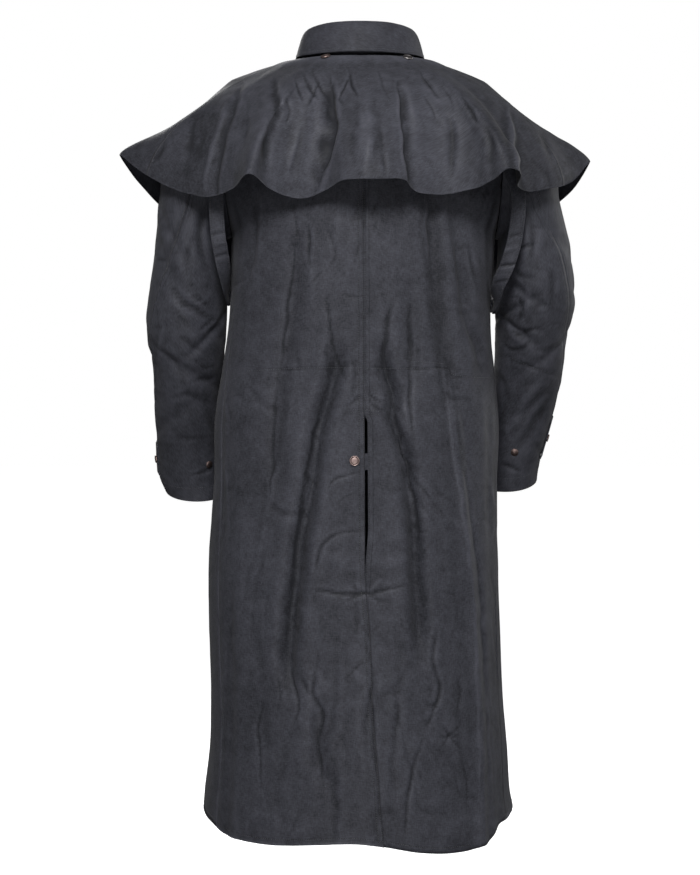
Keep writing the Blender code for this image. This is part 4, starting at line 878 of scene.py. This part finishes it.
def sew(name, lines, finish):
    """Stitches, each a short rounded thread that dips into the cloth at both ends."""
    verts, faces, sides = [], [], THREAD_SIDES
    for points, ways in lines:
        if len(points) < 3:
            continue
        run = np.concatenate([[0], np.cumsum(np.linalg.norm(np.diff(points, axis=0), axis=1))])
        for k in range(int(run[-1] / STITCH)):
            start, end, n = (np.array([np.interp((k + e) * STITCH, run, field[:, i]) for i in range(3)])
                             for e, field in ((0.12, points), (0.88, points), (0.5, ways)))
            n /= np.linalg.norm(n)
            way = end - start
            across = np.cross(n, way)
            size = np.linalg.norm(across)
            if size < 1e-7:
                continue
            across /= size
            base = len(verts)
            for t, r, lift in THREAD_RINGS:
                p = start + way * t + n * THREAD * lift
                for i in range(sides):
                    a = 2 * math.pi * i / sides
                    verts.append(p + (across * math.cos(a) + n * math.sin(a)) * THREAD * r)
            top = len(THREAD_RINGS) - 1
            for j in range(top):
                for i in range(sides):
                    a, b = base + j * sides + i, base + j * sides + (i + 1) % sides
                    faces.append((a, b, b + sides, a + sides))
            faces.append(tuple(range(base + sides - 1, base - 1, -1)))
            faces.append(tuple(range(base + top * sides, base + (top + 1) * sides)))
    ob = made(name, verts, faces, finish)
    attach(ob, "root")


def made(name, verts, faces, finish):
    mesh = bpy.data.meshes.new(name)
    mesh.from_pydata([tuple(map(float, v)) for v in verts], [], faces)
    mesh.polygons.foreach_set("use_smooth", [True] * len(mesh.polygons))
    mesh.materials.append(finish)
    ob = bpy.data.objects.new(name, mesh)
    bpy.context.scene.collection.objects.link(ob)
    return ob


class Value:
    """What a socket gives, in sums that are written like any other."""

    def __init__(self, finish, socket):
        self.finish, self.socket = finish, socket

    def sum(self, operation, a, b):
        return self.finish.node("ShaderNodeMath", {"operation": operation}, {0: a, 1: b})

    def __add__(self, other):
        return self.sum("ADD", self, other)

    def __sub__(self, other):
        return self.sum("SUBTRACT", self, other)

    def __rsub__(self, other):
        return self.sum("SUBTRACT", other, self)

    def __mul__(self, other):
        return self.sum("MULTIPLY", self, other)

    def __abs__(self):
        return self.sum("ABSOLUTE", self, 0.0)

    __radd__, __rmul__ = __add__, __mul__


class Finish:
    """A material whose nodes are written as sums."""

    def __init__(self, name, **steady):
        self.material = bpy.data.materials.new(name)
        self.material.use_nodes = True
        self.nodes, self.links = self.material.node_tree.nodes, self.material.node_tree.links
        self.shader = self.nodes["Principled BSDF"]
        for socket, value in steady.items():
            self.set(self.shader.inputs[socket.replace("_", " ")], value)

    def set(self, socket, value):
        if isinstance(value, Value):
            self.links.new(value.socket, socket)
        else:
            socket.default_value = (*value, 1) if socket.type == "RGBA" and len(value) == 3 else value

    def node(self, kind, settings=None, values=None, gives=0):
        n = self.nodes.new(kind)
        for name, value in (settings or {}).items():
            setattr(n, name, value)
        for name, value in (values or {}).items():
            self.set(n.inputs[name], value)
        return Value(self, n.outputs[gives])

    def parts(self, vector):
        n = self.nodes.new("ShaderNodeSeparateXYZ")
        self.links.new(vector.socket, n.inputs[0])
        return [Value(self, n.outputs[i]) for i in range(3)]

    def stretched(self, vector, sizes):
        return self.node("ShaderNodeVectorMath", {"operation": "MULTIPLY"}, {0: vector, 1: sizes})

    def noise(self, vector, scale, detail=2.0, rough=0.5, kind="FBM"):
        return self.node("ShaderNodeTexNoise", {"noise_type": kind, "normalize": kind == "FBM"},
                         {"Vector": vector, "Scale": scale, "Detail": detail, "Roughness": rough})

    def ease(self, value, low, high, first=0.0, last=1.0):
        return self.node("ShaderNodeMapRange", {"interpolation_type": "SMOOTHSTEP"},
                         {"Value": value, "From Min": low, "From Max": high, "To Min": first, "To Max": last})

    def between(self, share, a, b):
        return self.node("ShaderNodeMix", {"data_type": "RGBA"}, {0: share, 6: a, 7: b}, 2)

    def give(self, socket, value):
        self.set(self.shader.inputs[socket], value)

    def relief(self, height):
        bump = self.node("ShaderNodeBump", None, {"Strength": 1.0, "Distance": 1.0, "Height": height})
        self.give("Normal", bump)

    def stored(self, name):
        """The three values that the mesh carries under a name."""
        return self.parts(self.node("ShaderNodeAttribute", {"attribute_name": name}, None, "Vector"))

    def places(self):
        return self.node("ShaderNodeTexCoord", None, None, "Object")

    def wave(self, value):
        return self.node("ShaderNodeMath", {"operation": "SINE"}, {0: value})


COTTON = (0.0132, 0.0137, 0.0176), (0.0690, 0.0705, 0.0880)     # darkest and palest
THREADS_APART = 0.0008


def waxed_cotton(name, sewn=(), hem=0.0, bright=1.0, sides=0.0):
    """Dry waxed cotton; sewn gives the edges with rows of stitches and how far in each row lies."""
    f = Finish(name, Specular_IOR_Level=0.22, Sheen_Weight=0.04, Sheen_Roughness=0.5, Coat_Roughness=0.42)
    grain = f.node("ShaderNodeUVMap", {"uv_map": "cloth"})
    place = f.places()
    u, v, _ = f.parts(grain)
    edges = dict(zip(("first", "last", "low"), f.stored("edges")))
    # crease tones stored on the mesh: painted shade in troughs and fold valleys, painted light on broad
    # rises, and ridges lighter from rubbed wear and painted highlight
    ridge, painted_trough_shade, fold = f.stored("marks")
    upright = f.noise(f.stretched(grain, (560.0, 150.0, 1.0)), 1.0, 2.0)
    level = f.noise(f.stretched(grain, (150.0, 560.0, 1.0)), 1.0, 2.0)
    slubs = f.ease(f.noise(f.stretched(grain, (60.0, 700.0, 1.0)), 1.0, 1.0), 0.62, 0.74)
    cloud = f.noise(place, 11.0, 3.0, 0.6)
    bloom = f.noise(place, 60.0, 4.0, 0.65)
    lint = f.ease(f.noise(place, 260.0, 1.0), 0.735, 0.80)
    turn = 2 * math.pi / THREADS_APART
    weave = f.wave(u * turn) * f.wave(v * turn)
    small = f.noise(place, 42.0, 4.0, 0.5, "RIDGED_MULTIFRACTAL")
    groove, worn = None, None
    for edge, insets in sewn:
        for inset in insets:
            line = f.ease(abs(edges[edge] - inset), 0.0, 0.0014, 1.0, 0.0)
            groove = line if groove is None else groove + line
        rub = f.ease(edges[edge], 0.0004, 0.0042, 1.0, 0.0)
        worn = rub if worn is None else worn + rub
    tone = 0.40 + (upright - 0.5) * 0.7 + (level - 0.5) * 0.7 + slubs * 0.10
    tone = tone + (cloud - 0.5) * 0.55 + (bloom - 0.5) * 0.75 + lint * 0.35
    # lighter ridges are rubbed wear and painted highlight; darker troughs and fold valleys are painted shade
    tone = tone + ridge * 0.20 - painted_trough_shade * 0.28 - fold * 0.24 + weave * 0.03
    height = weave * 0.00003 + (upright + level) * 0.00012 + slubs * 0.00005 + small * 0.00070
    if worn is not None:
        tone = tone + worn * (bloom * 0.26) - groove * 0.20
        height = height - groove * 0.00030
    if hem:
        turned = f.ease(edges["low"], hem, hem + 0.0010, 1.0, 0.0)
        rope = f.noise(f.stretched(grain, (75.0, 40.0, 1.0)), 1.0, 1.0)
        height = height + turned * (0.00035 + (rope - 0.5) * 0.0011)
        tone = tone + turned * (rope - 0.5) * 0.30
    # sides paints shade: the cloth darkens by up to this much towards its left and right ends as seen from
    # the camera
    if sides:
        across, _, _ = f.parts(place)
        tone = tone - f.ease(abs(across - CAMERA[0]), 0.15, 0.215, 0.0, sides)
    # bright scales both colours, making lighter and darker copies of the same cotton that are painted light
    # and painted shade
    f.give("Base Color", f.between(tone, *(tuple(c * bright for c in colour) for colour in COTTON)))
    f.give("Roughness", 0.74 - ridge * 0.10 - (cloud - 0.5) * 0.20 + slubs * 0.04)
    f.give("Coat Weight", 0.05 + ridge * 0.06)
    f.relief(height)
    return f.material


def sewing_thread():
    f = Finish("sewing_thread", Specular_IOR_Level=0.4, Sheen_Weight=0.2)
    place = f.places()
    twist = f.noise(place, 1500.0, 1.0)
    f.give("Base Color", f.between(twist, (0.012, 0.013, 0.016), (0.046, 0.047, 0.054)))
    f.give("Roughness", 0.55 + twist * 0.2)
    f.relief(twist * 0.00005)
    return f.material


def old_copper(name, light, deep):
    """Antique copper, dark in its grooves and rubbed bright on its rims."""
    f = Finish(name, Metallic=1.0)
    place = f.places()
    hollow, rim, _ = f.stored("metal")
    spots = f.noise(place, 900.0, 3.0, 0.6)
    stain = f.noise(place, 240.0, 2.0)
    tone = 0.62 + (spots - 0.5) * 0.5 + (stain - 0.5) * 0.4 - hollow * 0.55 + rim * 0.25
    f.give("Base Color", f.between(tone, deep, light))
    f.give("Roughness", 0.34 + spots * 0.22 + hollow * 0.2 - rim * 0.08)
    f.relief(spots * 0.00006)
    return f.material


# profiles of the snaps from the middle out: share of the radius, height share, hollow, rim
CAP = (
    (0.0, 0.80, 0, 0), (0.30, 0.79, 0, 0), (0.52, 0.74, 0, 0), (0.64, 0.66, 0.3, 0), (0.70, 0.58, 1, 0),
    (0.75, 0.58, 1, 0), (0.80, 0.72, 0.2, 0.4), (0.87, 0.88, 0, 1), (0.93, 0.86, 0, 1), (0.98, 0.66, 0, 0.6),
    (1.0, 0.36, 0.2, 0), (0.97, 0.0, 0.6, 0),
)
RING = (
    (0.0, 0.30, 1, 0), (0.20, 0.30, 1, 0), (0.32, 0.34, 1, 0), (0.38, 0.70, 0.4, 0.6), (0.46, 0.84, 0, 1),
    (0.56, 0.80, 0, 0.6), (0.66, 0.60, 0.6, 0), (0.74, 0.58, 0.8, 0), (0.82, 0.80, 0, 0.7),
    (0.91, 0.84, 0, 1), (0.98, 0.60, 0, 0.5), (1.0, 0.30, 0.3, 0), (0.97, 0.0, 0.6, 0),
)
SNAP_SIDES, SNAP_SUNK = 40, 0.0004      # corners of a snap's rings, and how deep it is sunk in the cloth


def round_snap(node, tree, place, finish, profile, radius):
    """A press snap turned on its axis and seated on the cloth."""
    near, n, _, _ = tree.find_nearest(Vector(place))
    centre, n = np.array(near), np.array(n)
    if (n * (np.array(place) - (0.0, 0.0, place[2]))).sum() < 0:
        n = -n
    a = np.cross(n, (0.0, 0.0, 1.0))
    a /= np.linalg.norm(a)
    b = np.cross(n, a)
    sides = SNAP_SIDES
    verts, faces, metal = [centre + n * SNAP_H * profile[0][1]], [], [profile[0][2:]]
    for r, h, hollow, rim in profile[1:]:
        for i in range(sides):
            t = 2 * math.pi * i / sides
            rise = SNAP_H * h - (SNAP_SUNK if h == 0 else 0)
            verts.append(centre + (a * math.cos(t) + b * math.sin(t)) * radius * r + n * rise)
            metal.append((hollow, rim))
    for i in range(sides):
        faces.append((0, 1 + i, 1 + (i + 1) % sides))
    for k in range(len(profile) - 2):
        for i in range(sides):
            p, q = 1 + k * sides + i, 1 + k * sides + (i + 1) % sides
            faces.append((p, p + sides, q + sides, q))
    last = 1 + (len(profile) - 2) * sides
    faces.append(tuple(range(last, last + sides)))
    ob = made(f"metal_{node}", verts, faces, finish)
    values = np.array([(h, r, 0) for h, r in metal], np.float32)
    ob.data.attributes.new("metal", "FLOAT_VECTOR", "POINT").data.foreach_set("vector", values.ravel())
    bm = bmesh.new()
    bm.from_mesh(ob.data)
    bmesh.ops.recalc_face_normals(bm, faces=bm.faces)
    bm.to_mesh(ob.data)
    bm.free()
    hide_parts(node)
    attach(ob, "root")


def flattened(grid):
    g = grid.copy()
    g[..., :2] *= 0.2
    return g


def back_camera():
    data = bpy.data.cameras.new("camera")
    data.sensor_fit, data.sensor_height = "VERTICAL", 36.0
    data.lens = 36.0 * CAMERA[1] / (2 * MIDDLE[1] * PIXEL)
    data.clip_end = 100.0
    ob = bpy.data.objects.new("camera", data)
    bpy.context.scene.collection.objects.link(ob)
    ob.location = CAMERA
    ob.rotation_euler = (math.radians(90), 0, math.radians(180))
    bpy.context.scene.camera = ob


def soft_light(name, place, aim, size, power):
    data = bpy.data.lights.new(name, "AREA")
    data.shape, data.size, data.size_y, data.energy = "RECTANGLE", size[0], size[1], power
    ob = bpy.data.objects.new(name, data)
    bpy.context.scene.collection.objects.link(ob)
    ob.location = place
    ob.rotation_euler = (Vector(aim) - Vector(place)).to_track_quat("-Z", "Y").to_euler()


def studio():
    world = bpy.data.worlds.new("studio")
    world.use_nodes = True
    nodes, links = world.node_tree.nodes, world.node_tree.links
    dim, paper = nodes["Background"], nodes.new("ShaderNodeBackground")
    mix, path = nodes.new("ShaderNodeMixShader"), nodes.new("ShaderNodeLightPath")
    for n, strength in ((dim, ROOM_LIGHT), (paper, 1.0)):
        n.inputs[0].default_value, n.inputs[1].default_value = (1.0, 1.0, 1.0, 1), strength
    links.new(path.outputs["Is Camera Ray"], mix.inputs[0])
    links.new(dim.outputs[0], mix.inputs[1])
    links.new(paper.outputs[0], mix.inputs[2])
    links.new(mix.outputs[0], nodes["World Output"].inputs[0])
    bpy.context.scene.world = world
    f = Finish("pale_floor", Roughness=0.8, Emission_Color=(1.0, 1.0, 1.0), Emission_Strength=0.95)
    place = f.places()
    f.give("Base Color", f.between(f.noise(place, 2.0), (0.90, 0.90, 0.90), (0.94, 0.94, 0.94)))
    corners = ((-60, -60, FLOOR_Z), (60, -60, FLOOR_Z), (60, 60, FLOOR_Z), (-60, 60, FLOOR_Z))
    floor = made("floor", corners, [(0, 1, 2, 3)], f.material)
    floor.visible_diffuse = floor.visible_glossy = False
    for name, place, size, power in LIGHTS:
        soft_light(name, place, LIGHTS_AIM, size, power)


FLOOR_Z = -1.66
ROOM_LIGHT = 0.06
LIGHTS_AIM = (0, 0, -0.55)
LIGHTS = (
    ("key", (0.20, 2.75, 1.50), (1.0, 1.0), 97), ("side", (-2.9, 1.5, 0.6), (0.8, 1.8), 24),
    ("left_side", (2.9, 1.3, 0.1), (0.8, 1.8), 9), ("low", (0.1, 3.0, -1.5), (1.2, 1.0), 32),
    ("front", (0.8, -3.0, 1.1), (1.4, 1.4), 62), ("front_side", (-2.4, -1.6, 0.2), (0.8, 1.8), 20),
)


# how far in each row of stitches lies from its edge
SEAM, FACING = (0.0016, 0.0078), (0.0022, 0.0240)
EDGE, STRAP_ROW, HEM, CAPE_HEM_ROW = SEAM[:1], FACING[:1], (0.0087,), (0.0040,)
COLLAR_ROW, TAB_ROW = (0.0045,), (0.0025,)
# rows below and above the underarm, and columns, of the halves of the body; then rows and columns
BACK_GRID, FRONT_GRID = (262, 70, 104), (140, 40, 56)
SLEEVE_ROWS, SLEEVE_COLS = 176, 54
COLLAR_COLS, COLLAR_ROWS, STAND_COLS, STAND_ROWS = 190, 22, 120, 14
STRAP_ROWS, STRAP_COLS = 170, 11
CAPE_PARTS = (("cape_left", 0, CAPE_SEAM_LEFT, 120, 60),
              ("cape_back", CAPE_SEAM_LEFT, CAPE_SEAM_RIGHT, 330, 80),
              ("cape_right", CAPE_SEAM_RIGHT, 51, 120, 60))
# the cuff tabs lie on these rings of a coarser sleeve, from this point of each ring on
CUFF_RINGS, TAB_RINGS, TAB_FROM = 19, (14, 17), 3
CASING_Y = 368          # row of the picture at which the casing at the waist crosses the middle
# flat width and length of each kind of piece, and its area
SHEETS = {
    "back": ((0.31, 1.26), 0.32), "front": ((0.53, 1.24), 0.47), "top": ((0.34, 0.67), 0.115),
    "under": ((0.27, 0.60), 0.107), "cape_back": ((0.89, 0.34), 0.17), "cape_side": ((0.60, 0.35), 0.125),
    "fall": ((0.68, 0.065), 0.031), "stand": ((0.545, 0.056), 0.021), "strap": ((0.0225, 0.56), None),
    "vent_tab": ((0.052, 0.025), None), "cuff_tab": ((0.085, 0.072), 0.0052),
}


def toward(n, face, soft):
    """1 where the cloth faces the picture's side, falling softly to 0 at its edges."""
    return np.clip(face * n[..., 1] / soft, 0, 1)


def both_sides(grid, n, back, front, soft):
    seen_behind = crease_push(grid, back, 1) * toward(n, 1, soft)
    return seen_behind + crease_push(grid, front, -1) * toward(n, -1, soft)


def body_pieces(finish):
    gathers = tuple((w, d, 0, x - 1, CASING_Y - up, x + 1, CASING_Y, x, CASING_Y + down)
                    for x, up, down, w, d in WAIST_GATHERS)
    pieces = {}
    for part, face, size, creases, folds in (("back", 1, BACK_GRID, BODY_CREASES, BACK_FOLDS),
                                             ("front", -1, FRONT_GRID, FRONT_CREASES, FRONT_FOLDS)):
        for tag, side in (("left", 1), ("right", -1)):
            name = f"{part}_{tag}"
            g = panel(side, face, *size)
            away = flattened(g)
            push = crease_push(g, creases + gathers, face) * toward(outward(g, away), face, 0.30)
            # deep adds the large folds of the back and front to the painted shade of the fold valleys
            pieces[name] = Cloth(name, g, away, finish[part], *SHEETS[part], "hung", ["collar_stand"],
                                 push + rumple(g, 1.35, 2.2), deep=fold_depth(folds, g[..., 0], g[..., 2]))
    return pieces


def sleeve_centre(side, rows):
    return sleeve(side, lambda s: np.array([0.0, 180.0]), rows, creases=False).mean(1)


def sleeve_pieces(finish):
    pieces = {}
    fade = step(0.04, 0.12, np.linspace(0, 1, SLEEVE_ROWS))[:, None]
    spans = {"top": lambda s: np.linspace(FRONT_SLEEVE_SEAM, s, SLEEVE_COLS),
             "under": lambda s: np.linspace(s, 360 + FRONT_SLEEVE_SEAM, SLEEVE_COLS)}
    for side, tag, own in ((1, "left", SLEEVE_LEFT_CREASES), (-1, "right", SLEEVE_RIGHT_CREASES)):
        away = sleeve_centre(side, SLEEVE_ROWS)[:, None]
        for part, angles in spans.items():
            g = sleeve(side, angles, SLEEVE_ROWS)
            push = both_sides(g, outward(g, away), own, FRONT_SLEEVE_CREASES, 0.25) + rumple(g, 1.15, 0.9)
            pieces[part, tag] = Cloth(f"sleeve_{tag}_{part}", g, away, finish, *SHEETS[part], "hung",
                                      [f"back_{tag}"], push * fade)
    return pieces


def cape_pieces(finish):
    pieces = {}
    for name, first, last, cols, rows in CAPE_PARTS:
        g = cape(first, last, cols, rows)
        inside = g.copy()
        inside[..., 2] -= 0.2
        inside[..., :2] *= 0.6
        t = np.linspace(0, 1, rows)[:, None]
        push = both_sides(g, outward(g, inside), CAPE_CREASES, FRONT_CAPE_CREASES, 0.2)
        push = (push + rumple(g, 0.9, 1.4)) * step(0.02, 0.10, t)
        push = push + COLLAR_LIFT * np.exp(-(((t - 0.08) / 0.06) ** 2)) * step(0.0, 0.05, g[..., 1])
        sheet = SHEETS["cape_back" if name == "cape_back" else "cape_side"]
        # broad and full make the painted shade of the cape's fold valleys wider and darker
        pieces[name] = Cloth(name, g, inside, finish, *sheet, "draped", ["back_left", "front_left"], push,
                             broad=240, full=0.0042)
    return pieces


def collar_pieces(finish):
    g = collar_fall(COLLAR_COLS, COLLAR_ROWS)
    away = neck(np.linspace(-COLLAR_END, COLLAR_END, COLLAR_COLS), -0.001)[None]
    fall = Cloth("collar_fall", g, away, finish, *SHEETS["fall"], "folded", ["collar_stand"],
                 rumple(g, 0.3, 1.0), COLLAR_CLOTH)
    g = collar_stand(STAND_COLS, STAND_ROWS)
    Cloth("collar_stand", g, flattened(g), finish, *SHEETS["stand"], "folded", ["back_left", "back_right"],
          thick=COLLAR_CLOTH)
    return fall


def strap_pieces(finish):
    pieces = {}
    inside = np.array([0.0, 0.0, -0.25])
    for tag, table in (("left", STRAP_LEFT), ("right", STRAP_RIGHT)):
        g = strap(table, STRAP_ROWS, STRAP_COLS)
        push = crease_push(g, STRAP_CREASES, 1) * toward(outward(g, inside), 1, 0.3) + rumple(g, 0.35, 0.7)
        pieces[tag] = Cloth(f"underarm_strap_{tag}", g, inside, finish, *SHEETS["strap"], "hung",
                            [f"cape_{tag}"], push)
    return pieces


def tab_pieces(finish):
    """The tab behind the slit and those of the cuffs."""
    rows, cols = np.linspace(-0.643, -0.618, 12), np.linspace(-0.026, 0.026, 24)
    g = np.array([[back_skin(float(x), float(z), -0.0008 - WALL) for x in cols] for z in rows])
    Cloth("vent_tab", g, flattened(g), finish, *SHEETS["vent_tab"], "laid", ["back_right"])
    pieces = {}
    low, high = TAB_RINGS
    for side, tag in ((1, "left"), (-1, "right")):
        centre = sleeve_centre(side, CUFF_RINGS)
        coarse = sleeve(side, lambda s: np.linspace(FRONT_SLEEVE_SEAM, s, 9), CUFF_RINGS, WALL + 0.0005)
        coarse = coarse[low:high, TAB_FROM:]
        r, c = np.linspace(0, 2, 17), np.linspace(0, 5, 41)
        g = np.array([[on_cell(coarse, float(i), float(j)) for j in c] for i in r])
        away = np.array([on_centre(centre, low + i) for i in r])[:, None]
        pieces[tag] = Cloth(f"cuff_tab_{tag}", g, away, finish, *SHEETS["cuff_tab"], "laid",
                            [f"sleeve_{tag}_top"])
    return pieces


def sewn(cloth, *rows):
    """Rows of stitches along a piece's edges: which edge, how far in, and the share of it that is sewn."""
    return [cloth.along_edge(edge, inset, *share) for edge, insets, *share in rows for inset in insets]


def dress():
    """Every sewn piece, its stitches and the snaps."""
    thread = sewing_thread()
    strap_cotton = waxed_cotton("waxed_cotton_strap", (("first", STRAP_ROW), ("last", STRAP_ROW)))
    body = body_pieces({
        "back": waxed_cotton("waxed_cotton_back", (("first", SEAM), ("last", SEAM), ("low", HEM)), HEM[0]),
        "front": waxed_cotton("waxed_cotton_front", (("first", FACING), ("low", HEM)), HEM[0])})
    sleeves = sleeve_pieces(waxed_cotton("waxed_cotton_sleeve", (("first", SEAM), ("last", EDGE))))
    # sides=0.20 darkens the cape towards its left and right ends: painted shade
    capes = cape_pieces(waxed_cotton("waxed_cotton_cape", (("low", CAPE_HEM_ROW), ("first", EDGE)),
                                     bright=1.06, sides=0.20))
    # bright gives lighter and darker copies of the same cotton: the cape's at 1.06 is painted light and the
    # collar's at 0.92 is painted shade
    fall = collar_pieces(waxed_cotton("waxed_cotton_collar", (("first", COLLAR_ROW), ("last", COLLAR_ROW)),
                                      bright=0.92))
    straps = strap_pieces(strap_cotton)
    tabs = tab_pieces(strap_cotton)

    back_tree, front_tree = (tree_of(body[f"{p}_left"], body[f"{p}_right"]) for p in ("back", "front"))
    cape_tree = tree_of(*capes.values())
    sleeve_trees = {tag: tree_of(sleeves["top", tag], sleeves["under", tag]) for tag in ("left", "right")}

    for tag, middle, facing in (("left", SEAM, FACING), ("right", EDGE, STRAP_ROW)):
        sew(f"stitches_back_{tag}", sewn(body[f"back_{tag}"], ("first", middle, 0.86), ("last", SEAM, 0.78),
                                         ("low", HEM)), thread)
        sew(f"stitches_front_{tag}", sewn(body[f"front_{tag}"], ("first", facing), ("low", HEM)), thread)
        top, under = sleeves["top", tag], sleeves["under", tag]
        elbow = [drawn(sleeve_trees[tag], run) for run in SLEEVE_SEAMS] if tag == "right" else []
        sew(f"stitches_sleeve_{tag}", sewn(top, ("last", SEAM), ("first", EDGE), ("high", FACING))
            + sewn(under, ("high", FACING)) + elbow, thread)
        sew(f"stitches_strap_{tag}", sewn(straps[tag], ("first", STRAP_ROW), ("last", STRAP_ROW)), thread)
        sew(f"stitches_tab_{tag}", sewn(tabs[tag], *((edge, TAB_ROW) for edge in ("first", "low", "high"))),
            thread)
    sew("stitches_waist", [drawn(back_tree, run) for run in BODY_SEAMS]
        + [drawn(front_tree, run, -1) for run in FRONT_SEAMS], thread)
    rows = [line for piece in capes.values() for line in sewn(piece, ("low", CAPE_HEM_ROW))]
    rows += [drawn(cape_tree, run) for run in CAPE_SEAMS]
    rows += sewn(capes["cape_back"], ("first", EDGE), ("last", EDGE))
    rows += sewn(capes["cape_left"], ("first", EDGE)) + sewn(capes["cape_right"], ("last", EDGE))
    sew("stitches_cape", rows, thread)
    sew("stitches_collar", sewn(fall, *((edge, COLLAR_ROW) for edge in ("high", "first", "last"))), thread)

    warm = old_copper("old_copper", (0.36, 0.27, 0.25), (0.075, 0.052, 0.048))
    grey = old_copper("old_copper_greyed", (0.33, 0.31, 0.31), (0.08, 0.07, 0.07))
    snaps = [("hood_snap_left", cape_tree, CAP, SNAP_R, warm),
             ("hood_snap_right", cape_tree, CAP, SNAP_R, grey), ("vent_snap", back_tree, CAP, SNAP_R, warm)]
    for tag in ("left", "right"):
        snaps += [(f"cuff_snap_{tag}", sleeve_trees[tag], RING, CUFF_SNAP_R, warm),
                  (f"tab_snap_{tag}", tree_of(tabs[tag]), CAP, CUFF_SNAP_R, warm)]
    snaps += [(f"front_snap_{i}", front_tree, CAP, SNAP_R, warm) for i in range(1, 7)]
    for node, tree, profile, radius, metal in snaps:
        low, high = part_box(node)
        lower = HOOD_SNAP_LOWER if node == "hood_snap_right" else 0.0
        round_snap(node, tree, np.array((low + high) / 2) - (0.0, 0.0, lower), metal, profile, radius)


def on_centre(centre, r):
    i = min(int(r), len(centre) - 2)
    return centre[i] + (centre[i + 1] - centre[i]) * (r - i)


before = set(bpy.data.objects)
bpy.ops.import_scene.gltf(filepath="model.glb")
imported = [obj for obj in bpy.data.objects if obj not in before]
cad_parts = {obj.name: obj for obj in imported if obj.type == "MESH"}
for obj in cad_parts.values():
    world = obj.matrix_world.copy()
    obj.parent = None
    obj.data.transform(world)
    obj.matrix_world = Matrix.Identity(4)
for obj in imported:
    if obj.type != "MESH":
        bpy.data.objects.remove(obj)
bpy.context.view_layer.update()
bpy.context.scene.view_settings.view_transform = "Standard"
back_camera()
studio()
dress()
